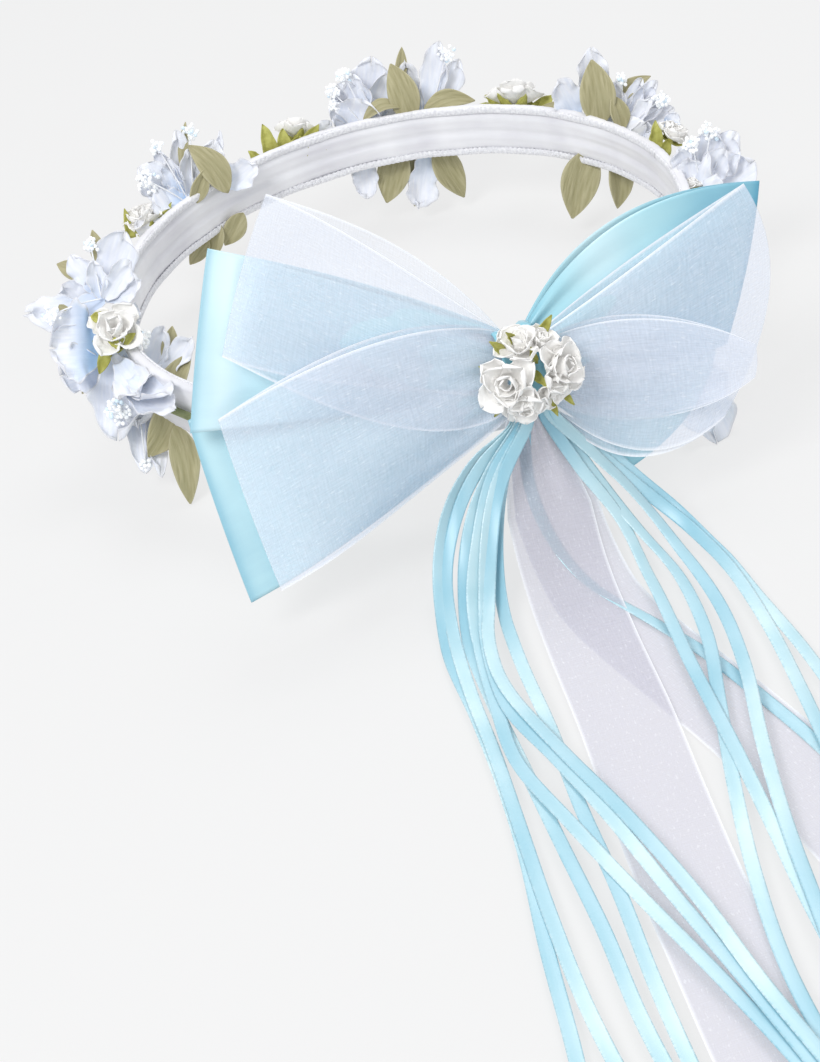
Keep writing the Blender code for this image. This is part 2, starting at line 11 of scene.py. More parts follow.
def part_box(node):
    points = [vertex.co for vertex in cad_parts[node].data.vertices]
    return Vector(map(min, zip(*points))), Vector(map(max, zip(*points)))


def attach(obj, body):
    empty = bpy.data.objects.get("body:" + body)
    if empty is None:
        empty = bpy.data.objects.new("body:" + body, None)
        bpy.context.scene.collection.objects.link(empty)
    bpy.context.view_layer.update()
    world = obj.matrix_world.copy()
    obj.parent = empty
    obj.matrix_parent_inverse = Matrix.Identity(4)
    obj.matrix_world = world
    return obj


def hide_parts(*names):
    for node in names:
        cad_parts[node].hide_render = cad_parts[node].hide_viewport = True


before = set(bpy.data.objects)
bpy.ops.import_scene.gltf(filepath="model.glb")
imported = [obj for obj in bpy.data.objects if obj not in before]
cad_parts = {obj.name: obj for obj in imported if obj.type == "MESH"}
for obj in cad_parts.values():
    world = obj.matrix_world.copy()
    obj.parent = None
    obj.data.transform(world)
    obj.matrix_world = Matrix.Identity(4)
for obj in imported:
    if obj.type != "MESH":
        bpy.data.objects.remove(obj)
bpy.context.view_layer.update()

MM = 0.001
RNG = np.random.default_rng(7)

# Places read off the fixed frame, then the band's inner radius, half its height, and how far the
# bow's knot is from the ring's axis.
COVER_LOW, COVER_HIGH = (np.array(corner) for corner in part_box("satin_cover"))
KNOT_LOW, KNOT_HIGH = (np.array(corner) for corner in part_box("knot_band"))
RING_CENTRE = (COVER_LOW + COVER_HIGH) / 2
COVER_OUTER = (COVER_HIGH[0] - COVER_LOW[0]) / 2
KNOT = (KNOT_LOW + KNOT_HIGH) / 2
BAND_INNER = 0.081
BAND_HALF = 0.008
BOW_REACH = 0.097

# The way the crown faces on its display: right, up and out towards the viewer.
SHOW_RIGHT = np.array((0.9246, -0.3330, -0.1849))
SHOW_UP = np.array((0.3415, 0.5101, 0.7894))
SHOW_OUT = np.array((-0.1686, -0.7931, 0.5853))
VIEW_PLACE = np.array((-0.1281, -0.5258, 0.3322))
VIEW_LENS = 94.69

# The bow's own directions: its face leans back from upright.
BOW_LEAN = math.radians(25)
BOW_ACROSS = np.array((1.0, 0.0, 0.0))
BOW_UP = np.array((0.0, math.sin(BOW_LEAN), math.cos(BOW_LEAN)))
BOW_OUT = np.cross(BOW_ACROSS, BOW_UP)

RIBBON_WIDTH = 0.0032
TAIL_WIDTH = 0.022
LAYER_PITCH = 0.00055
RIBBON_TOP_Z = 0.035
RIBBON_TOP_FORWARD = 0.005
TABLE_GAP = 0.0008
TABLE_SKIN = 0.0003
HIDDEN_RUN = 5
GATHERED_SHARE = 0.35
GATHER_RUN = 0.030
ROUTE_STEP = 0.0020
SATIN_THICKNESS = 0.0002
PETAL_THICKNESS = 0.00018
LEAF_THICKNESS = 0.0003

# Routes in millimetres: across from the knot, then along the cloth's run from the knot.
# Each has a layer, counted up from the table, so that crossing ribbons lie over each other.
RIBBON_ROUTES = {
    "ribbon_left_1": (3, (-8, 0), (-18, 5), (-27, 14), (-34, 26), (-39, 40), (-43, 57), (-45, 80),
        (-48, 104), (-52, 127), (-58, 153), (-63, 178), (-69, 205), (-73, 230)),
    "ribbon_left_2": (4, (-7, 0), (-17, 7), (-26, 17), (-34, 31), (-39, 48), (-43, 70), (-46, 94),
        (-50, 120), (-54, 146), (-57, 172), (-58, 200), (-58, 230)),
    "ribbon_left_3": (5, (-7, 0), (-16, 10), (-24, 21), (-31, 35), (-37, 54), (-40, 77), (-42, 102),
        (-44, 128), (-46, 155), (-49, 181), (-50, 208), (-50, 235)),
    "ribbon_left_4": (7, (-6, 0), (-15, 10), (-23, 24), (-31, 41), (-36, 60), (-40, 80), (-43, 101),
        (-40, 125), (-36, 151), (-31, 180), (-27, 208), (-24, 235)),
    "ribbon_left_5": (8, (-5, 0), (-15, 13), (-23, 29), (-31, 50), (-36, 68), (-38, 85), (-35, 105),
        (-32, 128), (-30, 154), (-27, 186), (-25, 212), (-24, 236)),
    "ribbon_left_6": (6, (-5, 0), (-12, 11), (-19, 27), (-25, 46), (-29, 68), (-32, 94), (-36, 120),
        (-39, 147), (-43, 174), (-46, 201), (-48, 228)),
    "ribbon_left_7": (9, (-5, 0), (-14, 13), (-21, 28), (-28, 45), (-34, 62), (-36, 79), (-33, 104),
        (-29, 129), (-26, 158), (-25, 184), (-23, 210), (-22, 236)),
    "ribbon_right_1": (3, (4, 0), (12, 9), (20, 23), (27, 38), (30, 55), (30, 75), (30, 98),
        (28, 124), (24, 150), (19, 178), (14, 205)),
    "ribbon_right_2": (4, (4, 0), (12, 13), (20, 27), (27, 43), (29, 61), (27, 85), (23, 109),
        (18, 134), (12, 160), (6, 188), (2, 214)),
    "ribbon_right_3": (7, (4, 0), (11, 13), (18, 29), (21, 47), (20, 74), (15, 98), (7, 122),
        (0, 146), (-5, 167), (-10, 190), (-14, 216)),
    "ribbon_right_4": (5, (3, 0), (9, 16), (15, 38), (17, 57), (13, 82), (5, 105), (-4, 130),
        (-12, 155), (-18, 180), (-21, 205), (-23, 230)),
    "ribbon_right_5": (6, (2, 0), (7, 16), (12, 35), (10, 59), (5, 90), (1, 120), (-3, 146),
        (-7, 171), (-10, 198), (-12, 226)),
    "ribbon_middle": (1, (-3, 0), (-6, 18), (-5, 36), (-1, 52), (5, 69), (11, 88), (15, 108),
        (18, 127), (20, 150), (20, 175), (18, 198)),
}
TAIL_ROUTES = {
    "organza_tail_left": (2, (-3, 0), (-3, 20), (-6, 40), (-11, 70), (-15, 97), (-20, 125),
        (-24, 149), (-27, 172), (-30, 196), (-32, 220)),
    "organza_tail_right": (0, (0, 0), (-1, 20), (-2, 38), (-2, 60), (3, 88), (7, 108), (10, 127),
        (12, 150), (14, 175), (15, 195)),
}

# Clusters round the ring: name, degrees, distance from the ring's axis and height (mm).
CLUSTERS = {
    "left": (181, 90, 32), "left_rear": (124, 90, 34), "rear_left": (92, 90, 36),
    "rear": (72, 90, 36), "rear_mid": (46, 90, 36), "rear_right": (24, 90, 36),
    "right_rear": (8, 90, 36), "right": (352, 92, 38), "front_right": (306, 96, 16),
}

# Cloth petals, in millimetres in a cluster's display frame: foot (right, up, out), tip (right, up,
# out), width, cup in radians, arch, tilt right, tilt up, throat colour.
PETALS = {
    "left": (
        ((0, 18, 2), (-21, 13, 3), 9, 0.7, 0.16, -0.2, 0.4, 0.5),
        ((-1, 19, 1), (-9, 30, 0), 6, 0.9, 0.05, -0.5, 0.1, 0.6),
        ((-1, 18, 0), (5, 36, -1), 9.5, 0.6, 0.06, 0.2, 0.2, 0.2),
        ((-1, 18, 2), (-3, 28, 3), 5, 1.0, 0.08, 0.3, 0.0, 0.4),
        ((0, 18, 1), (10, 23, 2), 7, 0.8, 0.10, 0.2, 0.5, 0.3),
        ((0, 18, 2), (7, 28, 3), 6, 1.0, 0.12, 0.4, 0.1, 0.1),
        ((-1, 4, -1), (-14.5, 4, 2), 20, 1.2, -0.16, -0.3, 0.2, 1.6),
        ((-2, 1, 0), (-12, -3, 0), 12, 0.8, 0.10, -0.4, -0.3, 0.5),
        ((4, 4, 4), (4.5, -20, 4), 13, 1.2, 0.10, -0.1, 0.0, 0.35),
        ((7, 3, 3), (9, -17, 3), 10, 1.0, 0.08, 0.5, 0.0, 0.3),
        ((9, -5, 1), (11, -29, 1), 7.5, 1.1, 0.06, 0.2, 0.0, 0.7),
        ((12, -5, 0), (15, -30, 0), 5, 1.2, 0.06, 0.4, 0.0, 0.9),
        ((3, 2, 6), (12, -8, 6), 6, 1.2, 0.10, 0.3, 0.3, 0.1),
        ((12, -3, 0), (16, 10, 0), 6, 0.9, 0.08, 0.3, 0.1, 0.2),
        ((14, -4, 0), (24, 7, 0), 6, 0.9, 0.08, 0.1, 0.4, 0.15),
        ((10, -2, -2), (20, -8, -2), 7, 0.8, 0.05, 0.2, 0.2, 0.4),
        ((5, 0, 8), (13, -11, 26), 9, 0.8, 0.08, -0.2, 0.3, 0.3),
        ((9, -5, 15), (21, -11, 32), 8, 0.8, 0.08, 0.2, 0.4, 0.3),
        ((9, -9, 17), (23, -15, 34), 8, 0.8, 0.08, 0.2, 0.4, 0.3),
        ((2, 14, -2), (9, 12, -2), 8, 0.8, 0.08, 0.2, 0.4, 0.2),
        ((-6, 14, -3), (-12, 22, -3), 9, 0.8, 0.06, -0.3, 0.1, 0.3),
    ),
    "left_rear": (
        ((5, 0, 1), (-9, 11, 2), 9.5, 0.9, 0.12, -0.3, 0.3, 1.0),
        ((6, 0, 0), (-4, 17, 0), 5, 1.3, 0.05, -0.4, 0.0, 0.5),
        ((6, 0, 0), (1.5, 22, 0), 6, 1.3, 0.06, 0.2, 0.0, 0.4),
        ((7, 1, 1), (6, 17, 1), 6.5, 1.1, 0.08, 0.5, 0.1, 0.3),
        ((16, 6, -1), (26, 13, -1), 8, 0.8, 0.10, 0.3, 0.4, 0.4),
        ((8, 1, 2), (-6, 2, 3), 7, 0.8, 0.08, -0.1, 0.5, 1.5),
        ((9, 5, -1), (13, 20, -1), 7, 1.0, 0.06, 0.3, 0.1, 0.3),
        ((14, 8, -2), (15, 23, -2), 2.5, 1.3, 0.04, 0.0, 0.0, 0.1),
        ((3, 2, 0), (-1, 14, 1), 6, 1.1, 0.08, -0.2, 0.1, 0.7),
    ),
    "rear_left": (
        ((6, -3, 0), (10.5, 4, 0), 5, 0.9, 0.1, 0.2, 0.2, 0.1),
    ),
    "rear": (
        ((-8, -5, 0), (-6.5, 15.5, 1), 13, 1.0, 0.10, 0.1, 0.1, 0.3),
        ((-9, -5, 1), (-17, 7, 2), 10, 0.9, 0.12, -0.3, 0.2, 0.5),
        ((-10, -6, 1), (-19, 1, 2), 8, 0.8, 0.12, -0.2, 0.4, 0.4),
        ((-7, -5, 1), (-1, 11, 0), 8, 1.1, 0.08, 0.4, 0.1, 0.6),
        ((-11, -6, 3), (-9, 2, 5), 13, 1.1, 0.14, 0.0, 0.3, 0.2),
        ((-8, -5, 2), (-12, 10, 3), 8, 1.2, 0.10, -0.5, 0.1, 0.7),
        ((11, -4, 0), (15.5, 20, 1), 8, 1.2, 0.06, -0.3, 0.1, 0.3),
        ((14, -4, 0), (21, 15, 0), 7, 1.1, 0.06, 0.3, 0.1, 0.4),
        ((9, -4, -1), (4.5, 15, -1), 6, 1.0, 0.05, -0.2, 0.1, 0.8),
        ((-9, -14, -6), (-8, -26, -9), 7, 0.8, 0.05, -0.1, 0.0, 0.2),
        ((12, -12, -6), (8.5, -29, -10), 9, 0.9, 0.05, 0.3, 0.0, 0.5),
    ),
    "rear_mid": (),
    "rear_right": (
        ((-9, -1, -4), (-15, 10, -2), 8, 0.9, 0.08, -0.3, 0.2, 0.6),
        ((-4, 0, -5), (-5, 19.5, -4), 8, 0.9, 0.05, 0.1, 0.1, 0.4),
        ((4, -5, 0), (10, 9, 1), 6, 1.4, 0.10, -0.3, 0.0, 0.2),
        ((4, -5, 1), (14, 8.5, 1), 6, 1.4, 0.10, 0.3, 0.1, 0.2),
        ((5, -5, 2), (17, 4, 2), 6, 1.4, 0.10, 0.0, 0.4, 0.1),
        ((5, -6, 2), (19, 0, 2), 5.5, 1.3, 0.10, 0.3, 0.3, 0.1),
        ((5, -6, 3), (12, 3, 4), 5, 1.4, 0.12, -0.2, 0.3, 0.1),
        ((3, -5, 0), (2, 9, 0), 5, 1.2, 0.05, 0.2, 0.0, 0.2),
        ((5, -8, 2), (14, -6, 3), 5, 1.2, 0.10, 0.1, 0.5, 0.5),
    ),
    "right_rear": (
        ((1, 1, 0), (4, 6, 0), 4, 0.9, 0.1, 0.1, 0.2, 1.8),
    ),
    "right": (
        ((-2, -8, 0), (8.5, 6, 1), 10, 0.9, 0.10, -0.2, 0.2, 0.1),
        ((0, -9, 1), (13, -2, 2), 10, 0.8, 0.10, 0.3, 0.3, 0.05),
        ((-3, -7, 1), (-8, 2, 2), 7, 0.9, 0.10, -0.4, 0.2, 0.1),
        ((-2, -8, 1), (2, 7, 1), 8, 1.0, 0.08, 0.1, 0.1, 0.15),
        ((-2, -9, 2), (5, 1, 4), 7, 1.1, 0.14, 0.2, 0.4, 0.1),
        ((-4, -9, 2), (-5, -1, 3), 6, 1.0, 0.12, -0.2, 0.3, 0.05),
    ),
    "front_right": (
        ((-8, 8, -2), (2, -20.5, 2), 15, 0.6, 0.10, 0.3, -0.2, 0.1),
        ((-8, 8, -3), (5, -11, -4), 9, 0.7, 0.08, 0.5, -0.2, 0.1),
        ((-9, 8, -3), (-6, -12, -4), 9, 0.7, 0.08, -0.3, -0.2, 0.1),
    ),
}

# Lilies that face outwards from the ring: cluster, degrees round the ring, height and petal length
# in millimetres.
OUTER_LILIES = {
    "left_rear": (126, 27, 15), "rear": (76, 27, 16), "rear_right": (24, 27, 15), "right": (349, 28, 15),
    "front_right": (316, 27, 14),
}
OUTER_LILY_RADIUS = 86.5

# Cloth leaves in the same frame: foot, tip, width, crease, arch, sideways bend, tilt right, tilt up.
LEAVES = {
    "left": (
        ((-1, 27, -2), (-4, 38, -2), 4.5, 0.3, 0.05, 0, 0.2, 0.0),
        ((-5, 25, -2), (-14, 28.5, -2), 6, 0.2, 0.05, 0, -0.2, 0.3),
        ((-9, 14, -1), (-19.5, 15, -1), 5.5, 0.3, 0.08, 0, -0.2, 0.3),
        ((17, 0, -2), (18.5, 11, -2), 5, 0.3, 0.08, 0, 0.2, 0.0),
        ((18, -11, 0), (23.5, 3.5, 0), 7.5, 0.4, 0.10, -1, -0.3, 0.1),
        ((19, -10, 3), (12.5, -26, 3), 10, 0.4, 0.10, -1.5, 0.2, 0.0),
        ((20, -17, 4), (24, -39, 8), 8.5, 0.5, 0.08, -1.5, -0.2, 0.0),
        ((-3, -3, -2), (-7, -8, -2), 3, 0.3, 0.05, 0, 0.0, 0.0),
        ((20, -6, -3), (27, -20, -3), 8, 0.4, 0.08, 1, 0.3, 0.0),
    ),
    "left_rear": (
        ((18, 4, 2), (6, 19, 3), 9.5, 0.3, 0.10, 1.0, 0.3, 0.2),
        ((4, 10, 0), (4, 26.5, 0), 3.5, 0.5, 0.04, 0, -0.3, 0.0),
        ((7, 0, 4), (11.5, 11, 5), 5.5, 0.8, 0.15, 0, 0.5, 0.0),
        ((22, -1, -6), (16, -11, -9), 7, 0.4, 0.08, 0, 0.3, 0.0),
        ((11, -9, -6), (5, -17, -8), 5.5, 0.4, 0.08, 0, 0.1, 0.0),
        ((15, -5, -6), (12, -15, -9), 5, 0.4, 0.08, 0, -0.2, 0.0),
    ),
    "rear": (
        ((6.5, -5, 4), (-0.5, 14, 5), 10, 0.35, 0.10, 0.8, -0.2, 0.1),
        ((2.5, 8, 0), (3.5, 20.5, 0), 4, 0.4, 0.04, 0, 0.3, 0.0),
        ((-9, -4, 5), (4, 0.5, 5), 5, 0.5, 0.20, -1.5, 0.0, 0.5),
        ((10, -1, 4), (26.5, 3, 4), 7, 0.4, 0.10, -1.5, 0.0, 0.3),
        ((3, -11, -6), (-2, -28, -10), 11, 0.3, 0.05, 0, -0.2, 0.0),
        ((7, -11, -7), (8, -29, -11), 6, 0.5, 0.05, 0, 0.4, 0.0),
        ((14, -10, -6), (24, -26, -10), 10, 0.4, 0.08, 0.8, 0.3, 0.0),
    ),
    "rear_mid": (
        ((20.5, -6, 2), (7, -2.5, 2), 4.5, 0.4, 0.12, 1, 0.0, 0.5),
    ),
    "rear_right": (
        ((-3, -5, 3), (-5.5, 15.5, 4), 11, 0.4, 0.10, 0.5, -0.1, 0.1),
        ((4, -6, 4), (1, 4.5, 5), 6.5, 0.5, 0.12, 0, 0.3, 0.1),
        ((2, 2, -2), (13, 12, -2), 5, 0.4, 0.12, -1.2, 0.0, 0.3),
        ((-5, -10, -6), (-10.5, -31, -10), 12, 0.5, 0.06, 0.5, -0.1, 0.0),
        ((3, -12, -6), (4, -28, -9), 8, 1.0, 0.25, 0, 0.2, 0.0),
    ),
    "right": (
        ((-8, -10, 1), (0.5, -10, 1), 4.0, 0.4, 0.15, -5.5, 0.0, 0.3),
    ),
}

BEAD_RADII = (0.00052, 0.00068)
BEAD_PITCH = 0.0009
STALK_RADIUS = 0.00022

# Bead sprays: centre (right, up, out) and radius, each on a stalk from a foot.
BEAD_SPRAYS = {
    "left": (((-4, 33, 1), 2.2, (-1, 19, 2)), ((-14, 13.5, 4), 3.0, (-1, 18, 3)),
        ((10.5, 6.5, 4), 3.2, (13, -4, 2)), ((4.5, -13.5, 7), 3.8, (4, -2, 5)),
        ((11.5, -28, 2), 1.8, (10, -16, 2))),
    "left_rear": (((-6.5, 7, 5), 3.8, (5, 1, 2)), ((-4, 18, 2), 2.4, (6, 1, 1)),
        ((6, 23, 1), 2.8, (7, 4, 1))),
    "rear": (((-15, 10.5, 4), 2.8, (-9, -3, 2)), ((-19, 5, 4), 2.4, (-10, -4, 2)),
        ((-18, 1, 3), 2.0, (-11, -5, 2)), ((17.5, 17.5, 2), 3.0, (13, 0, 1))),
    "rear_right": (((15.5, 3, 4), 2.9, (6, -5, 2)), ((4, 10, 1), 2.2, (4, -3, 0))),
    "right": (((-4.5, 3, 4), 2.7, (-2, -7, 2)), ((1, 7, 3), 3.1, (-1, -7, 1))),
}

# Paper roses: centre (right, up, out), radius, and how the rose leans (right, up, out).
ROSES = {
    "left": (((4, 9, 8), 7.0, (-0.1, 0.5, 1.0)),),
    "left_rear": (((-8.5, -4, 3), 5.8, (-0.4, 0.9, 0.6)),),
    "rear_left": (((-0.5, 2, -1), 6.0, (0.0, 1.0, 0.0)),),
    "rear_mid": (((0, 1.5, -1), 7.5, (0.0, 1.0, 0.0)),),
    "right_rear": (((3, 0, 2), 4.6, (0.4, 0.7, 0.5)),),
    "right": (((-4.5, -8, 4), 2.4, (0.0, 0.8, 0.5)),),
}

# A paper rose's rounds of petals from the middle out, in shares of its radius: how many, how far the
# tips reach out, how high they stand, and their width.
ROSE_ROUNDS = ((3, 0.03, 0.45, 0.8), (2, 0.12, 0.60, 1.1), (3, 0.60, 0.55, 1.5), (4, 1.05, 0.22, 1.6))

# Loose calyx tips: foot, tip, width.
SEPALS = {
    "left": (((0, 12, 5), (-3.5, 13, 5), 3.5), ((1, 3, 5), (-1, -3, 5), 3.5),
        ((6, 5, 9), (9.5, 8, 9), 2.5), ((3, 6, 10), (5.5, 3, 11), 2.5)),
    "left_rear": (((-8, -11, 3), (1, -1, 4), 5.0), ((-12, -10, 2), (-14, -1, 3), 3.0),
        ((-4, -9, 2), (0.5, 1, 3), 3.0)),
    "rear_left": (((-8, -8, 1), (-11, 3.5, 1), 5), ((-4, -7, 3), (-4.5, 1.5, 4), 5),
        ((1, -7, 3), (7, 3, 3), 5), ((5, -6, 2), (14, 2, 1), 5),
        ((-11, -10, 1), (-15.5, -5, 1), 3.5), ((0, -7, 4), (1, -1, 5), 7)),
    "rear_mid": (((-6, -4, -3), (-12, -1, -2), 4), ((-3, -4, -3), (-9.5, 2, -2), 5),
        ((0, -4, -3), (-2, 0, -2), 9), ((4, -4, -3), (5, 0, -2), 6),
        ((6, -4, -3), (12, 2, -2), 5)),
    "right_rear": (((-3, -7, 3), (-2.5, 3.5, 3), 4.5), ((-3, -7, 3), (3, -15, 2), 4),
        ((-1, -8, 3), (1.5, -2, 4), 4)),
}

# The bow's loops, in millimetres on the bow's face: cloth, fold's top, fold's foot, how far the fold
# bows out, depth at the fold, depth at the knot, puff, then the middle of the top edge (back, front)
# and of the foot edge (back, front), and the edges' ends at the knot.
BOW_LOOPS = {
    "satin_loop_left_lower": ("satin", (-81, 14), (-81, -34), 0.5, -9.0, -1.6, 2.6,
        (-42, 16), (-42, 14), (-37, -23), (-37, -23), (-1, 5), (-2, -8)),
    "satin_loop_left_upper": ("satin", (-63.5, 52), (-82, 11.5), 0.5, -3.5, -0.8, 3.0,
        (-32, 33.5), (-32, 31), (-44, 4), (-42, 2), (0, 9), (-2, -6)),
    "organza_loop_left_upper": ("organza", (-47, 60), (-69.5, 27), 1.0, 3.0, 1.5, 2.6,
        (-21, 40), (-23, 34), (-37, 10), (-35, -5), (-2, 10), (-3, -8)),
    "organza_loop_left_lower": ("organza", (-76, 14), (-75, -30), 0.5, 9.5, 1.8, 3.2,
        (-34, 20), (-32, 18), (-36, -21), (-37, -21.5), (-2, 10), (-3, -9)),
    "satin_loop_right_upper": ("satin", (75.5, 23.5), (55, -13), 1.5, -5.5, -1.0, 2.6,
        (34, 26.5), (35, 25), (30, -12), (30, -12), (2, 7), (2, -5)),
    "satin_loop_right_lower": ("satin", (54, -13), (23, -35.5), 5.0, -10.5, -1.6, 2.4,
        (28, -6), (28, -7), (15, -22), (15, -22), (3, 3), (3, -8)),
    "organza_loop_right_upper": ("organza", (68, 25), (46, -29), 10.0, 3.0, 1.8, 3.0,
        (37, 17.5), (36, 14.5), (20, -31), (22, -29), (2, 5), (3, -9)),
    "organza_loop_right_lower": ("organza", (57, -13), (54.5, -21), 0.6, 9.0, 1.8, 3.0,
        (30, 4), (30, 2.5), (27, -22), (27, -23), (2, 4), (3, -9)),
}

# Painted highlight on the loops' satin: how much all over, at its brightest, where along the loop that is,
# and how far it spreads.
LOOP_PAINTED_HIGHLIGHT = {
    "satin_loop_left_upper": (0.36, 0.40, 0.91, 0.055),
    "satin_loop_left_lower": (0.20, 0.12, 0.95, 0.04),
    "satin_loop_right_upper": (0.05, 0.42, 0.42, 0.15),
}

# How much painted shade the loops' colour takes along the foot that is turned under, and near the fold.
LOOP_PAINTED_SHADE = {"satin_loop_left_lower": (1.1, 0.0), "satin_loop_right_upper": (0.75, 0.45)}

# The roses on the knot: centre (across, up, out) on the bow's face, radius, lean. Then the calyx tips
# between them: foot, tip, width. All in millimetres.
ROSETTE_ROSES = (
    ((-7.0, -1.0, 12.0), 6.6, (-0.45, 0.1, 1.0)), ((-1.0, 7.0, 10.5), 5.4, (-0.1, 0.9, 0.8)),
    ((7.0, -1.5, 12.0), 6.4, (0.6, 0.0, 1.0)), ((-4.5, -7.0, 11.5), 5.2, (-0.3, -0.8, 0.9)),
    ((3.5, -6.5, 10.5), 4.8, (0.3, -0.9, 0.8)), ((4.5, 6.0, 10.0), 4.6, (0.5, 0.8, 0.7)),
)
ROSETTE_SEPALS = (
    ((1, 1, 9), (0.5, 6, 14), 3.5), ((0, -1, 9), (1.5, -5, 15), 3.5), ((-5, 6, 8), (-8, 10, 11), 3.5),
    ((5, 7, 8), (9, 11, 10), 3.5), ((-8, -5, 7), (-12, -8, 9), 3.0), ((2, -8, 8), (3, -13, 10), 3.0),
    ((-9, 2, 7), (-12, 5, 9), 2.5), ((-2, 8, 9), (-4, 11, 13), 3.0), ((6, -8, 8), (8, -12, 9), 2.5),
)


# ---------------------------------------------------------------- shader groups

def new_group(name, inputs, outputs):
    tree = bpy.data.node_groups.new(name, "ShaderNodeTree")
    for label, kind, value in inputs:
        socket = tree.interface.new_socket(label, in_out="INPUT", socket_type=kind)
        if value is not None:
            socket.default_value = value
    for label, kind in outputs:
        tree.interface.new_socket(label, in_out="OUTPUT", socket_type=kind)
    return tree, tree.nodes.new("NodeGroupInput"), tree.nodes.new("NodeGroupOutput")


def mix_colours(tree, factor, a, b):
    node = tree.nodes.new("ShaderNodeMix")
    node.data_type = "RGBA"
    for socket, value in ((node.inputs[0], factor), (node.inputs[6], a), (node.inputs[7], b)):
        if isinstance(value, (float, int)):
            socket.default_value = value
        elif isinstance(value, tuple):
            socket.default_value = (*value, 1.0)
        else:
            tree.links.new(value, socket)
    return node.outputs[2]


def calculate(tree, operation, *values):
    node = tree.nodes.new("ShaderNodeMath")
    node.operation = operation
    for socket, value in zip(node.inputs, values):
        if isinstance(value, (float, int)):
            socket.default_value = value
        else:
            tree.links.new(value, socket)
    return node.outputs[0]


def clamp(tree, value):
    node = tree.nodes.new("ShaderNodeClamp")
    tree.links.new(value, node.inputs["Value"])
    return node.outputs[0]


def stretch(tree, vector, scale):
    node = tree.nodes.new("ShaderNodeMapping")
    node.inputs["Scale"].default_value = scale
    tree.links.new(vector, node.inputs["Vector"])
    return node.outputs[0]


def noise(tree, vector, scale, detail=2.0, roughness=0.5):
    node = tree.nodes.new("ShaderNodeTexNoise")
    node.inputs["Scale"].default_value = scale
    node.inputs["Detail"].default_value = detail
    node.inputs["Roughness"].default_value = roughness
    tree.links.new(vector, node.inputs["Vector"])
    return node.outputs["Fac"]


def make_thread_group():
    """Fine crossed fibres: a height, and a mask of the few specks that are painted as glints."""
    tree, entry, leave = new_group("woven_fibres", (("Cloth", "NodeSocketVector", None),),
                                   (("Height", "NodeSocketFloat"), ("Glint", "NodeSocketFloat")))
    cloth = entry.outputs["Cloth"]
    warp = noise(tree, stretch(tree, cloth, (1.0, 0.10, 1.0)), 2600.0, 1.0)
    weft = noise(tree, stretch(tree, cloth, (0.10, 1.0, 1.0)), 2600.0, 1.0)
    height = calculate(tree, "MULTIPLY", calculate(tree, "ADD", warp, weft), 0.5)
    speck = noise(tree, stretch(tree, cloth, (1.0, 0.45, 1.0)), 1500.0, 1.0)
    glint = calculate(tree, "MULTIPLY", calculate(tree, "SUBTRACT", speck, 0.61), 7.0)
    tree.links.new(height, leave.inputs["Height"])
    tree.links.new(clamp(tree, glint), leave.inputs["Glint"])
    return tree


def make_mottle_group():
    """A soft change of shade over a surface: two colours mixed by stretched noise."""
    tree, entry, leave = new_group(
        "soft_mottle",
        (("Place", "NodeSocketVector", None), ("Scale", "NodeSocketFloat", 200.0),
         ("First", "NodeSocketColor", (1, 1, 1, 1)), ("Second", "NodeSocketColor", (0.9, 0.9, 0.9, 1))),
        (("Color", "NodeSocketColor"), ("Mask", "NodeSocketFloat")))
    node = tree.nodes.new("ShaderNodeTexNoise")
    node.inputs["Detail"].default_value = 3.0
    tree.links.new(entry.outputs["Place"], node.inputs["Vector"])
    tree.links.new(entry.outputs["Scale"], node.inputs["Scale"])
    spread = tree.nodes.new("ShaderNodeMapRange")
    spread.inputs["From Min"].default_value = 0.32
    spread.inputs["From Max"].default_value = 0.68
    tree.links.new(node.outputs["Fac"], spread.inputs["Value"])
    colour = mix_colours(tree, spread.outputs[0], entry.outputs["First"], entry.outputs["Second"])
    tree.links.new(colour, leave.inputs["Color"])
    tree.links.new(spread.outputs[0], leave.inputs["Mask"])
    return tree


THREADS = make_thread_group()
MOTTLE = make_mottle_group()


class Finish:
    """A material with a Principled shader, and short ways to add to it."""

    def __init__(self, name, roughness, **sockets):
        self.material = bpy.data.materials.new(name)
        self.material.use_nodes = True
        self.tree = self.material.node_tree
        self.shader = self.tree.nodes["Principled BSDF"]
        self.shader.inputs["Roughness"].default_value = roughness
        for label, value in sockets.items():
            self.shader.inputs[label.replace("_", " ")].default_value = value

    def attribute(self, name, output="Fac"):
        node = self.tree.nodes.new("ShaderNodeAttribute")
        node.attribute_name = name
        return node.outputs[output]

    def place(self):
        return self.tree.nodes.new("ShaderNodeTexCoord").outputs["Object"]

    def group(self, tree, **sockets):
        node = self.tree.nodes.new("ShaderNodeGroup")
        node.node_tree = tree
        for label, value in sockets.items():
            if isinstance(value, bpy.types.NodeSocket):
                self.tree.links.new(value, node.inputs[label])
            elif isinstance(value, tuple):
                node.inputs[label].default_value = (*value, 1.0)
            else:
                node.inputs[label].default_value = value
        return node.outputs

    def feed(self, label, value):
        self.tree.links.new(value, self.shader.inputs[label])

    def bump(self, height, distance, strength=1.0):
        node = self.tree.nodes.new("ShaderNodeBump")
        node.inputs["Distance"].default_value = distance
        node.inputs["Strength"].default_value = strength
        self.tree.links.new(height, node.inputs["Height"])
        self.feed("Normal", node.outputs[0])


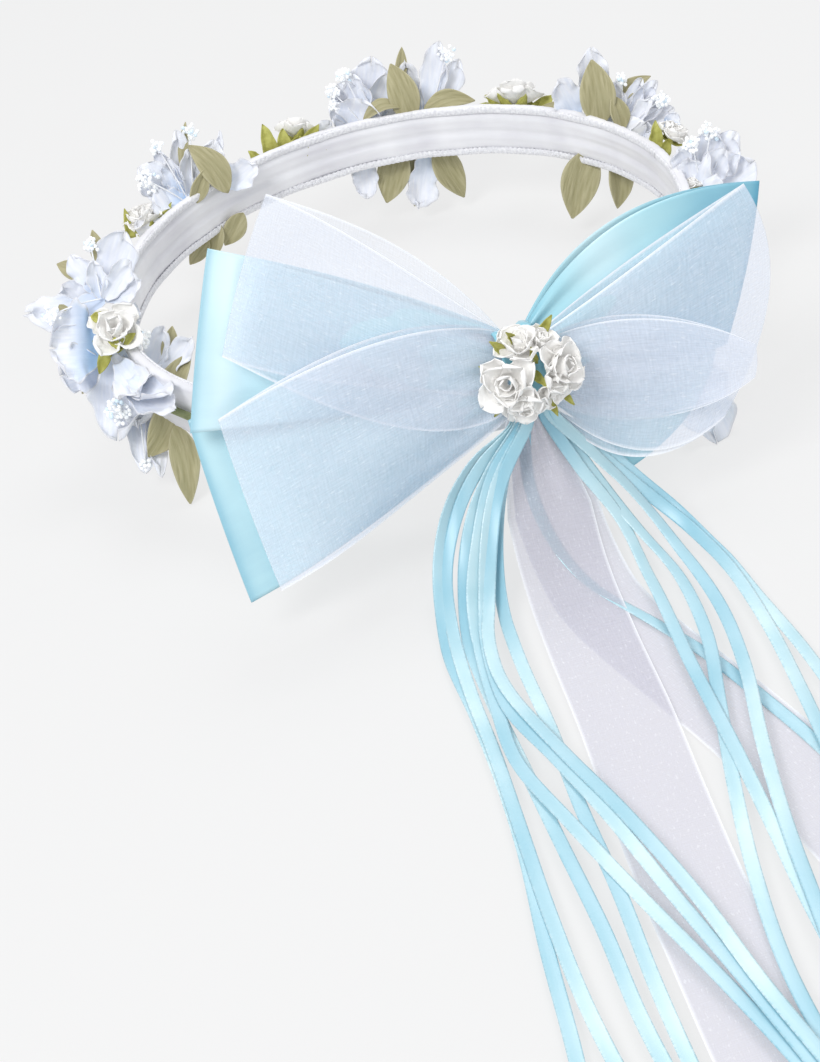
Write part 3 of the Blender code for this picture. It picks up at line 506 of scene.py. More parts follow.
def satin_finish(name, first, second, painted_sheen_colour, deep, roughness, sheen_patch_scale, edge_light=0.0):
    """Close satin with fine lengthwise threads and a dotted edge. Its colour carries a painted sheen
    in broad patches, and a painted highlight and painted shade along its folds.
    """
    finish = Finish(name, roughness, Specular_IOR_Level=0.7, Sheen_Weight=0.25, Sheen_Roughness=0.4)
    tree = finish.tree
    cloth = finish.attribute("cloth", "Vector")
    lengthwise = stretch(tree, cloth, (1.0, 0.12, 1.0))
    mottle = finish.group(MOTTLE, Place=lengthwise, Scale=420.0, First=first, Second=second)
    # Painted sheen: broad patches of a lighter colour laid over the cloth's mottle.
    painted_sheen = finish.group(MOTTLE, Place=stretch(tree, cloth, (0.6, 1.0, 1.0)), Scale=sheen_patch_scale,
                        First=mottle["Color"], Second=painted_sheen_colour)
    colour = painted_sheen["Color"]
    if edge_light:
        stitches = noise(tree, stretch(tree, cloth, (0.3, 1.0, 1.0)), 1300.0, 1.0)
        stitches = calculate(tree, "GREATER_THAN", stitches, 0.5)
        dotted = calculate(tree, "MULTIPLY", stitches, edge_light)
        dotted = calculate(tree, "MULTIPLY", finish.attribute("edge"), dotted)
        colour = mix_colours(tree, dotted, colour, (0.78, 0.92, 0.95))
    # Painted highlight, then painted shade: the colour is lightened towards pale turquoise and darkened
    # towards the deep colour where the cloth's values say.
    colour = mix_colours(tree, finish.attribute("shine"), colour, (0.80, 0.92, 0.95))
    finish.feed("Base Color", mix_colours(tree, finish.attribute("deep"), colour, deep))
    threads = finish.group(THREADS, Cloth=lengthwise)
    finish.bump(threads["Height"], 0.00004, 0.6)
    return finish.material


def organza_finish(name, colour, cover, edge_cover, sparkle):
    """Sheer stiff cloth: see-through, with a fine weave, painted glints and a denser woven edge."""
    finish = Finish(name, 0.5, Specular_IOR_Level=0.6, Sheen_Weight=0.5, Sheen_Roughness=0.3)
    tree = finish.tree
    cloth = finish.attribute("cloth", "Vector")
    threads = finish.group(THREADS, Cloth=cloth)
    edge = finish.attribute("edge")
    # Painted glints: weave specks lightened towards white, together with the paler, denser woven edge.
    glint = calculate(tree, "MULTIPLY", threads["Glint"], sparkle)
    painted_glint_and_edge = calculate(tree, "MULTIPLY", calculate(tree, "MAXIMUM", glint, edge), 0.8)
    finish.feed("Base Color", mix_colours(tree, painted_glint_and_edge, colour, (0.95, 0.96, 0.98)))
    weave = calculate(tree, "MULTIPLY", calculate(tree, "SUBTRACT", threads["Height"], 0.5), 0.45)
    alpha = calculate(tree, "ADD", weave, cover)
    alpha = calculate(tree, "ADD", alpha, calculate(tree, "MULTIPLY", glint, 0.18))
    alpha = calculate(tree, "ADD", alpha, calculate(tree, "MULTIPLY", edge, edge_cover))
    finish.feed("Alpha", clamp(tree, alpha))
    finish.bump(threads["Height"], 0.00003, 0.4)
    return finish.material


def petal_finish():
    """Thin starched cloth, blue in its throat, paler and a little see-through at its cut edge."""
    finish = Finish("petal_cloth", 0.55, Sheen_Weight=0.3, Specular_IOR_Level=0.4)
    tree = finish.tree
    cloth = finish.attribute("cloth", "Vector")
    fibres = stretch(tree, cloth, (1.0, 0.15, 1.0))
    mottle = finish.group(MOTTLE, Place=fibres, Scale=900.0, First=(0.91, 0.92, 0.96),
                          Second=(0.80, 0.83, 0.92))
    throat = finish.attribute("throat")
    shade = mix_colours(tree, throat, mottle["Color"], (0.34, 0.52, 0.78))
    edge = finish.attribute("edge")
    finish.feed("Base Color", mix_colours(tree, edge, shade, (0.93, 0.94, 0.98)))
    finish.feed("Alpha", calculate(tree, "SUBTRACT", 0.97, calculate(tree, "MULTIPLY", edge, 0.25)))
    finish.bump(mottle["Mask"], 0.00012, 0.5)
    return finish.material


def leaf_finish():
    """Stiffened olive cloth with printed veins, paler at its cut edge."""
    finish = Finish("leaf_cloth", 0.6, Sheen_Weight=0.15)
    tree = finish.tree
    cloth = finish.attribute("cloth", "Vector")
    veins = stretch(tree, cloth, (1.0, 0.10, 1.0))
    mottle = finish.group(MOTTLE, Place=veins, Scale=1100.0, First=(0.33, 0.30, 0.15),
                          Second=(0.49, 0.45, 0.27))
    patches = calculate(tree, "MULTIPLY", noise(tree, cloth, 160.0), 0.5)
    shade = mix_colours(tree, patches, mottle["Color"], (0.22, 0.21, 0.10))
    edge = calculate(tree, "MULTIPLY", finish.attribute("edge"), 0.5)
    finish.feed("Base Color", mix_colours(tree, edge, shade, (0.62, 0.58, 0.38)))
    finish.bump(mottle["Mask"], 0.00025, 0.7)
    return finish.material


def bead_finish():
    # The beads glow faintly: a painted light that brightens them.
    finish = Finish("frosted_beads", 0.2, Specular_IOR_Level=0.7, Emission_Color=(0.95, 0.98, 1.0, 1.0),
                    Emission_Strength=0.12)
    tint = finish.attribute("tint")
    finish.feed("Base Color", mix_colours(finish.tree, tint, (0.96, 0.97, 0.98), (0.62, 0.78, 0.90)))
    return finish.material


def mottled_finish(name, roughness, scale, first, second, grain=None, **sockets):
    """Paper, card, tape or thread in two soft shades. grain is its scale, detail, roughness, height
    and strength."""
    finish = Finish(name, roughness, **sockets)
    place = finish.place()
    mottle = finish.group(MOTTLE, Place=place, Scale=scale, First=first, Second=second)
    finish.feed("Base Color", mottle["Color"])
    if grain:
        fineness, detail, coarseness, height, strength = grain
        finish.bump(noise(finish.tree, place, fineness, detail, coarseness), height, strength)
    return finish.material


def stitch_finish():
    """White thread over the band's edge."""
    finish = Finish("stitched_edge", 0.6, Sheen_Weight=0.2)
    mottle = finish.group(MOTTLE, Place=finish.attribute("cloth", "Vector"), Scale=1200.0,
                          First=(0.90, 0.90, 0.92), Second=(0.74, 0.74, 0.78))
    finish.feed("Base Color", mottle["Color"])
    finish.bump(mottle["Mask"], 0.0003, 0.8)
    return finish.material


# Each satin: two cloth colours, a painted sheen colour, a painted shade colour, roughness and the size of
# the sheen's patches.
TURQUOISE = satin_finish("turquoise_satin", (0.19, 0.49, 0.61), (0.25, 0.56, 0.67),
                         (0.47, 0.77, 0.83), (0.08, 0.34, 0.50), 0.30, 32.0)
RIBBON_SATIN = satin_finish("ribbon_satin", (0.41, 0.64, 0.71), (0.51, 0.72, 0.77), (0.62, 0.80, 0.84),
                            (0.16, 0.44, 0.58), 0.34, 40.0, 0.8)
BAND_SATIN = satin_finish("band_satin", (0.66, 0.65, 0.70), (0.75, 0.75, 0.78), (0.86, 0.86, 0.88),
                          (0.48, 0.47, 0.53), 0.32, 45.0)
BOW_ORGANZA = organza_finish("bow_organza", (0.80, 0.85, 0.95), 0.36, 0.60, 0.6)
TAIL_ORGANZA = organza_finish("tail_organza", (0.58, 0.57, 0.65), 0.58, 0.25, 0.4)
PETAL = petal_finish()
# The rose paper glows faintly: a painted light that keeps its folds bright.
PAPER = mottled_finish("rose_paper", 0.8, 500.0, (0.95, 0.94, 0.92), (0.86, 0.85, 0.83),
                       (700.0, 4.0, 0.6, 0.0004, 0.6), Emission_Color=(1.0, 0.98, 0.96, 1.0),
                       Emission_Strength=0.03)
LEAF = leaf_finish()
CALYX = mottled_finish("calyx_paper", 0.7, 420.0, (0.50, 0.50, 0.14), (0.33, 0.32, 0.06),
                       (800.0, 3.0, 0.5, 0.0004, 0.7))
BEAD = bead_finish()
STALK = mottled_finish("stalk_thread", 0.6, 1500.0, (0.92, 0.93, 0.95), (0.82, 0.83, 0.86))
STITCH = stitch_finish()
KEPT_NODE_FINISHES = {
    "flower_hoop": mottled_finish("florist_tape", 0.75, 300.0, (0.30, 0.33, 0.16), (0.22, 0.25, 0.11),
                                  (900.0, 3.0, 0.5, 0.0003, 0.6)),
    "band_core": mottled_finish("core_card", 0.85, 350.0, (0.76, 0.74, 0.69), (0.68, 0.66, 0.61)),
    "bow_tie_wire": mottled_finish("covered_tie_wire", 0.5, 700.0, (0.45, 0.68, 0.78),
                                   (0.36, 0.60, 0.72)),
}


# ---------------------------------------------------------------- mesh making

def unit(vector):
    vector = np.asarray(vector, dtype=float)
    return vector / np.linalg.norm(vector)


def add_object(name, data):
    piece = bpy.data.objects.new(name, data)
    bpy.context.scene.collection.objects.link(piece)
    return piece


class Cloth:
    """Gathers grids of points into one mesh, with values that the finishes read."""

    def __init__(self):
        self.points, self.faces, self.triangles, self.values = [], [], [], {}
        self.count = 0

    def add(self, points, faces, triangles=(), **values):
        points = np.asarray(points).reshape(-1, 3)
        self.points.append(points)
        self.faces.append(np.asarray(faces) + self.count)
        self.triangles.extend([self.count + corner for corner in triangle] for triangle in triangles)
        self.count += len(points)
        for label, value in values.items():
            self.values.setdefault(label, []).append(value)

    def add_grid(self, points, around=False, **values):
        rows, columns = points.shape[:2]
        index = np.arange(rows * columns).reshape(rows, columns)
        if around:
            index = np.hstack((index, index[:, :1]))
        a, b, c, d = index[:-1, :-1], index[:-1, 1:], index[1:, 1:], index[1:, :-1]
        faces = np.stack((a, b, c, d), axis=-1).reshape(-1, 4)
        shaped = {}
        for label, value in values.items():
            value = np.asarray(value, dtype=float)
            wide = 3 if label == "cloth" else 1
            shape = (rows, columns, 3) if wide == 3 else (rows, columns)
            shaped[label] = np.broadcast_to(value, shape).reshape(-1, wide)
        self.add(points, faces, **shaped)

    def make(self, name, material, slot, replaces=(), thickness=0.0):
        mesh = bpy.data.meshes.new(name)
        faces = np.concatenate(self.faces).tolist() + self.triangles
        mesh.from_pydata(np.concatenate(self.points).tolist(), [], faces)
        for label, parts in self.values.items():
            data = np.concatenate(parts)
            if label == "cloth":
                layer = mesh.attributes.new(label, "FLOAT_VECTOR", "POINT")
                layer.data.foreach_set("vector", data.ravel())
            else:
                layer = mesh.attributes.new(label, "FLOAT", "POINT")
                layer.data.foreach_set("value", data.ravel())
        mesh.update()
        mesh.shade_smooth()
        mesh.materials.append(material)
        piece = add_object(name, mesh)
        if thickness:
            solid = piece.modifiers.new("cloth_thickness", "SOLIDIFY")
            solid.thickness = thickness
            solid.offset = 0.0
        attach(piece, "root")
        if replaces:
            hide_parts(*replaces)
        return piece


def petal_outline(t):
    rise = 0.32 + 0.68 * np.sin(np.pi / 2 * np.minimum(t / 0.62, 1.0))
    fall = np.sqrt(np.maximum(1.0 - (np.maximum(t - 0.62, 0.0) / 0.38) ** 2, 0.0))
    return np.maximum(rise * fall, 0.05)


def leaf_outline(t):
    return np.maximum(np.sin(np.pi * t ** 0.85) ** 0.8, 0.05)


def sepal_outline(t):
    return np.maximum((0.75 + 0.6 * t) * (1.0 - t ** 1.6) ** 0.9, 0.05)


def paper_outline(t):
    fall = np.sqrt(np.maximum(1.0 - (np.maximum(t - 0.7, 0.0) / 0.3) ** 2.4, 0.0))
    return np.maximum((0.45 + 0.55 * np.sqrt(t)) * fall, 0.08)


def blade(cloth, foot, tip, width, facing, outline, cup=0.0, arch=0.0, bend=0.0, crease=0.0, curl=0.0,
          ruffle=0.0, fray=0.0, throat=0.0, rows=16, columns=10):
    """Add one thin petal or leaf from its foot to its tip. Its hollow side looks along facing."""
    foot, tip = np.asarray(foot, dtype=float), np.asarray(tip, dtype=float)
    length = np.linalg.norm(tip - foot)
    ahead = (tip - foot) / length
    out = unit(facing - ahead * np.dot(facing, ahead))
    side = np.cross(ahead, out)
    t = np.linspace(0.0, 1.0, rows + 1)[:, None]
    u = np.linspace(-1.0, 1.0, columns + 1)[None, :]
    half = width / 2 * outline(t)
    swing = max(abs(cup), 0.01)
    uneven = RNG.uniform(0, 6.28, 4)
    notches = np.sin(9 * t + uneven[0]) + 0.6 * np.sin(21 * t + uneven[1] + 2 * np.sign(u))
    half = half * (1.0 + fray * notches * np.abs(u) ** 2)
    across = half * np.sin(swing * u) / swing
    lift = np.sign(cup) * half * (1.0 - np.cos(swing * u)) / swing
    lift = lift - crease * half * (1.0 - np.abs(u)) * 0.6
    phase, pace = RNG.uniform(0, 6.28), RNG.uniform(1.6, 2.6)
    wave = np.sin(2 * np.pi * pace * t + phase) * np.abs(u) ** 2
    wave = wave + 0.5 * np.sin(4.3 * np.pi * pace * t - phase) * u ** 3
    lift = lift + ruffle * width * wave * np.minimum(3 * t, 1.0)
    lift = lift + arch * length * np.sin(np.pi * t) + curl * length * t ** 3
    sideways = bend * np.sin(np.pi * t)
    reach = length * t * (1.0 + 0.7 * fray * np.sin(5 * u + uneven[2]) * t)
    points = foot + ahead * reach[..., None] + side * (across + sideways)[..., None]
    points = points + out * lift[..., None]
    points[..., 2] = np.maximum(points[..., 2], TABLE_SKIN + 0.0001)
    flat = np.stack(np.broadcast_arrays(half * u, length * t, 0.0), axis=-1)
    rim = np.maximum(np.abs(u), np.clip((t - 0.9) / 0.1, 0, 1) * 0.98)
    edge = np.clip((rim - 0.9) / 0.1, 0.0, 1.0) ** 2
    deep = np.clip(throat * np.maximum(1.0 - t / 0.75, 0.0) ** 1.2, 0.0, 1.0)
    cloth.add_grid(points, cloth=flat, edge=edge, throat=deep)


def tube(cloth, points, radius, corners=6):
    """Add a thin round thread along some points."""
    points = np.asarray(points)
    ahead = np.gradient(points, axis=0)
    ahead /= np.linalg.norm(ahead, axis=1)[:, None]
    first = np.cross(ahead, unit((0.31, 0.52, 0.79)))
    first /= np.linalg.norm(first, axis=1)[:, None]
    second = np.cross(ahead, first)
    turn = np.linspace(0, 2 * np.pi, corners, endpoint=False)
    turn = turn[None, :, None]
    ring = first[:, None, :] * np.cos(turn) + second[:, None, :] * np.sin(turn)
    cloth.add_grid(points[:, None, :] + radius * ring, around=True)


def ball_mesh(rings=6, corners=10):
    """A round bead: its points, its four-cornered faces, and the three-cornered ones at its poles."""
    polar = np.linspace(0.0, np.pi, rings + 1)[1:-1, None]
    turn = np.linspace(0, 2 * np.pi, corners, endpoint=False)[None, :]
    around = np.broadcast_arrays(np.sin(polar) * np.cos(turn), np.sin(polar) * np.sin(turn), np.cos(polar))
    points = np.concatenate((np.stack(around, axis=-1).reshape(-1, 3), [(0, 0, 1), (0, 0, -1)]))
    last = (rings - 2) * corners
    top, low = last + corners, last + corners + 1
    faces, tips = [], []
    for j in range(corners):
        k = (j + 1) % corners
        faces.extend((i + j, i + k, i + corners + k, i + corners + j) for i in range(0, last, corners))
        tips.extend(((top, k, j), (low, last + j, last + k)))
    return points, faces, tips


# ---------------------------------------------------------------- flowers

def cluster_frame(name):
    degrees, radius, height = CLUSTERS[name]
    angle = math.radians(degrees)
    origin = RING_CENTRE + np.array((radius * MM * math.cos(angle), radius * MM * math.sin(angle), 0.0))
    origin[2] = height * MM

    def spot(place):
        right, up, out = place
        return origin + MM * (right * SHOW_RIGHT + up * SHOW_UP + out * SHOW_OUT)

    return spot


def bow_spot(place):
    across, up, out = place
    return KNOT + MM * (across * BOW_ACROSS + up * BOW_UP + out * BOW_OUT)


def tilted(right, up):
    return unit(SHOW_OUT + right * SHOW_RIGHT + up * SHOW_UP)


def square_to(axis):
    """Two directions square to an axis and to each other."""
    first = unit(np.cross(axis, (0.2, 0.3, 0.9)))
    return first, np.cross(axis, first)


def add_rose(cloth, centre, axis, radius):
    """A crumpled paper rose: cupped petals in four rounds."""
    axis = unit(axis)
    first, second = square_to(axis)
    start = RNG.uniform(0, 6.28)
    for count, reach, height, size in ROSE_ROUNDS:
        for k in range(count):
            turn = start + 2 * math.pi * k / count + RNG.uniform(-0.15, 0.15)
            radial = first * math.cos(turn) + second * math.sin(turn)
            foot = centre + radius * (0.10 * radial - 0.45 * axis)
            tip = centre + radius * ((reach + RNG.uniform(-0.08, 0.08)) * radial + height * axis)
            blade(cloth, foot, tip, radius * size, axis * 0.5 - radial, paper_outline, cup=1.15,
                  curl=-0.26, arch=-0.10, ruffle=0.08, fray=0.08, crease=0.06, rows=18, columns=14)
        start += 0.7


def add_calyx(cloth, centre, axis, radius):
    """Five pointed tips that cup a rose from behind."""
    axis = unit(axis)
    first, second = square_to(axis)
    for k in range(5):
        turn = 0.4 + 2 * math.pi * k / 5
        radial = first * math.cos(turn) + second * math.sin(turn)
        foot = centre - 0.62 * radius * axis + 0.05 * radius * radial
        tip = centre + radius * (1.02 * radial - RNG.uniform(0.0, 0.25) * axis)
        blade(cloth, foot, tip, radius * 0.75, axis - 0.6 * radial, sepal_outline, cup=0.8, arch=-0.15,
              ruffle=0.05, crease=0.3, rows=10, columns=6)


def add_beads(beads, stalks, spot, spray):
    """A clump of small beads round the end of a thin stalk."""
    centre, size, foot = spray
    middle = spot(centre)
    points, faces, tips = ball_mesh()
    placed = []
    wanted = int(7 + 2.6 * size ** 2)
    for _ in range(400):
        if len(placed) >= wanted:
            break
        offset = RNG.normal(0.0, 0.55, 3)
        if np.linalg.norm(offset) > 1.0:
            continue
        place = middle + offset * size * MM
        if all(np.linalg.norm(place - other) > BEAD_PITCH for other in placed):
            placed.append(place)
    for place in placed:
        radius = RNG.uniform(*BEAD_RADII)
        tint = np.full((len(points), 1), 0.9 if RNG.random() < 0.08 else RNG.uniform(0.0, 0.08))
        ball = points * radius + place
        ball[:, 2] = np.maximum(ball[:, 2], TABLE_SKIN)
        beads.add(ball, faces, tips, tint=tint)
    ends = [spot(foot), middle]
    mid = (ends[0] + ends[1]) / 2 + SHOW_OUT * 0.0012 + SHOW_UP * 0.0008
    t = np.linspace(0, 1, 9)[:, None]
    line = (1 - t) ** 2 * ends[0] + 2 * t * (1 - t) * mid + t ** 2 * ends[1]
    tube(stalks, line, STALK_RADIUS)


def add_outer_lily(petals, beads, stalks, leaves, name):
    """An open six-petalled lily on the ring's outer side, with its own spray and two leaves."""
    degrees, height, length = OUTER_LILIES[name]
    angle = math.radians(degrees)
    outwards = np.array((math.cos(angle), math.sin(angle), 0.0))
    around = np.array((-math.sin(angle), math.cos(angle), 0.0))
    axis = unit(outwards + np.array((0.0, 0.0, 0.15)))
    upwards = np.cross(axis, around)
    centre = RING_CENTRE * (1, 1, 0) + OUTER_LILY_RADIUS * MM * outwards + np.array((0.0, 0.0, height * MM))
    reach = length * MM
    for k in range(6):
        turn = math.pi * (k + 0.5) / 3 + RNG.uniform(-0.12, 0.12)
        radial = around * math.cos(turn) + upwards * math.sin(turn)
        tip = centre + reach * (0.78 * radial + 0.55 * axis)
        blade(petals, centre + 0.1 * reach * radial, tip, 0.62 * reach, axis - 0.7 * radial, petal_outline,
              cup=0.8, arch=-0.10, curl=-0.10, ruffle=0.07, crease=0.12, fray=0.08, throat=0.5,
              rows=24, columns=14)
    for turn in (0.25, math.pi - 0.25, -0.5, math.pi + 0.5):
        radial = around * math.cos(turn) + upwards * math.sin(turn)
        tip = centre + 1.25 * reach * (radial + 0.1 * axis)
        blade(leaves, centre - 0.0005 * axis, tip, 0.42 * reach, axis, leaf_outline, crease=0.4, arch=0.06,
              curl=-0.08, ruffle=0.015, rows=18, columns=12)

    add_beads(beads, stalks, np.asarray, (centre + 0.55 * reach * axis, 2.6, centre + 0.05 * reach * axis))


# The plain solids that each cluster's pieces stand for.
REPLACED = {
    "left": {"petals": ("lily_left", "lily_left_rear", "lily_hanging"), "beads": ("stamens_left_rear",),
             "rose": ("rose_left",), "sepals": ("calyx_left",),
             "leaves": ("leaves_left", "leaves_left_rear")},
    "left_rear": {"petals": ("lily_rear_left",), "beads": ("stamens_rear_left",),
                  "rose": ("rose_rear_left",), "leaves": ("leaves_rear_left",)},
    "rear_left": {"rose": ("rose_rear",), "sepals": ("calyx_rear",)},
    "rear": {"petals": ("lily_rear",), "beads": ("stamens_rear",), "leaves": ("leaves_rear",)},
    "rear_mid": {"rose": ("rose_rear_mid",), "sepals": ("calyx_rear_mid",)},
    "rear_right": {"petals": ("lily_rear_right",), "beads": ("stamens_rear_right",),
                   "leaves": ("leaves_rear_right",)},
    "right_rear": {"rose": ("rose_right",)},
    "right": {"petals": ("lily_right",)},
    "front_right": {"petals": ("lily_front_right",)},
}


def make_cluster(name):
    spot = cluster_frame(name)
    replaced = REPLACED[name]
    petals, leaves, beads, stalks = Cloth(), Cloth(), Cloth(), Cloth()
    for foot, tip, width, cup, arch, tilt_right, tilt_up, throat in PETALS.get(name, ()):
        blade(petals, spot(foot), spot(tip), 1.3 * width * MM, tilted(tilt_right, tilt_up), petal_outline,
              cup=0.8 * cup, arch=-arch, curl=0.06, ruffle=0.085, crease=0.12, fray=0.10, throat=throat,
              rows=28, columns=16)
    for foot, tip, width, crease, arch, bend, tilt_right, tilt_up in LEAVES.get(name, ()):
        blade(leaves, spot(foot), spot(tip), width * MM, tilted(tilt_right, tilt_up), leaf_outline,
              crease=crease, arch=arch, bend=bend * MM, curl=-0.08, ruffle=0.015, rows=18, columns=12)
    for spray in BEAD_SPRAYS.get(name, ()):
        add_beads(beads, stalks, spot, spray)
    if name in OUTER_LILIES:
        add_outer_lily(petals, beads, stalks, leaves, name)
    if petals.count:
        petals.make("petals_" + name, PETAL, "petal_cloth", replaced.get("petals", ()), PETAL_THICKNESS)
    if leaves.count:
        leaves.make("leaf_spray_" + name, LEAF, "leaf_cloth", replaced.get("leaves", ()), LEAF_THICKNESS)
    if beads.count:
        beads.make("beads_" + name, BEAD, "pearl", replaced.get("beads", ()))
        stalks.make("stalks_" + name, STALK, "pearl")
    if name in ROSES:
        rose, sepals = Cloth(), Cloth()
        for centre, radius, lean in ROSES[name]:
            axis = lean[0] * SHOW_RIGHT + lean[1] * SHOW_UP + lean[2] * SHOW_OUT
            add_rose(rose, spot(centre), axis, radius * MM)
            add_calyx(sepals, spot(centre), axis, radius * MM)
        rose.make("paper_rose_" + name, PAPER, "white_paper", replaced.get("rose", ()), 0.0002)
        for foot, tip, width in SEPALS.get(name, ()):
            blade(sepals, spot(foot), spot(tip), 1.4 * width * MM, tilted(0.2, 0.2), sepal_outline, cup=0.9,
                  arch=0.08, crease=0.2, ruffle=0.06, rows=10, columns=6)
        sepals.make("rose_calyx_" + name, CALYX, "calyx_paper", replaced.get("sepals", ()), 0.0002)


# ---------------------------------------------------------------- band

def ring_grid(profile, steps, wobble=None):
    """Points of a closed ring: profile is (radius, height) pairs, wobble adds to them at each step."""
    angle = np.linspace(0, 2 * np.pi, steps, endpoint=False)[:, None]
    radius = np.array([p[0] for p in profile])[None, :]
    height = np.array([p[1] for p in profile])[None, :]
    if wobble is not None:
        add_radius, add_height = wobble(angle, radius, height)
        radius, height = radius + add_radius, height + add_height
    x, y = radius * np.cos(angle), radius * np.sin(angle)
    points = np.stack(np.broadcast_arrays(x, y, height), axis=-1) + RING_CENTRE
    flat = np.stack(np.broadcast_arrays(height, BAND_INNER * angle, 0.0), axis=-1)
    return points, flat


def add_ring(cloth, profile, steps, wobble=None):
    points, flat = ring_grid(profile, steps, wobble)
    points = np.concatenate((points, points[:1]))
    flat = np.concatenate((flat, flat[:1]))
    cloth.add_grid(points, around=True, cloth=flat, edge=0.0)


def make_band():
    """A soft satin tube over a stiff core, creased lengthwise, with a stitched edge each side."""
    half = BAND_HALF * 0.94
    turned_middle, turned_depth, turned_height = BAND_INNER + 0.0015, 0.0013, 0.0006
    profile = []
    for k in range(23):
        height = half * (2 * k / 22 - 1)
        share = height / BAND_HALF
        crown = 0.0003 * (1 - share ** 2)
        creases = 0.00034 * (math.cos(share * 7.5) + 0.5 * math.cos(share * 16 + 1.0))
        profile.append((BAND_INNER + 0.0003 - crown + creases, height))
    turned = [(turned_depth * math.cos(math.pi * k / 6), turned_height * math.sin(math.pi * k / 6))
              for k in range(1, 6)]
    profile.extend((turned_middle - deep, half + rise) for deep, rise in turned)
    profile.extend((COVER_OUTER - 0.0001, half * (1 - 2 * k / 11)) for k in range(12))
    profile.extend((turned_middle + deep, -half - rise) for deep, rise in turned)

    def pucker(angle, radius, height):
        near_edge = np.clip((np.abs(height) - 0.0035) / 0.004, 0.0, 1.0)
        fine = np.sin(173 * angle + 900 * height) + 0.6 * np.sin(97 * angle + 2.0)
        slow = np.sin(7 * angle + 400 * height) + 0.7 * np.sin(13 * angle + 1.3) + 0.5 * np.sin(29 * angle)
        return 0.00009 * near_edge * fine + 0.00008 * slow, 0.00012 * slow * near_edge

    band = Cloth()
    add_ring(band, profile, 480, pucker)
    band.make("band_satin", BAND_SATIN, "white_satin", ("satin_cover",))

    for label, middle in (("lower", -0.0070), ("upper", 0.0070)):
        outline = []
        for k in range(10):
            turn = 2 * math.pi * k / 10
            outline.append((BAND_INNER + 0.0001 - 0.0005 * math.cos(turn), middle + 0.0009 * math.sin(turn)))

        def scallop(angle, radius, height):
            tooth = np.abs(np.sin(170 * angle))
            loose = 0.5 * np.sin(11 * angle + middle * 900) + 0.5 * np.sin(23 * angle)
            return 0.00022 * (tooth - 0.5), (height - middle) * 0.35 * tooth + 0.0002 * loose

        trim = Cloth()
        add_ring(trim, outline, 1400, scallop)
        trim.make("stitched_edge_" + label, STITCH, "white_satin", ("edge_trim_" + label,))

    for node, finish in KEPT_NODE_FINISHES.items():
        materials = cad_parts[node].data.materials
        materials.clear()
        materials.append(finish)


# ---------------------------------------------------------------- bow

def curve_through(start, middle, end, s):
    """A smooth edge from start to end that passes its middle point half way."""
    start, middle, end = (np.asarray(p, dtype=float) for p in (start, middle, end))
    control = 2 * middle - (start + end) / 2
    s = s[..., None]
    return (1 - s) ** 2 * start + 2 * s * (1 - s) * control + s ** 2 * end


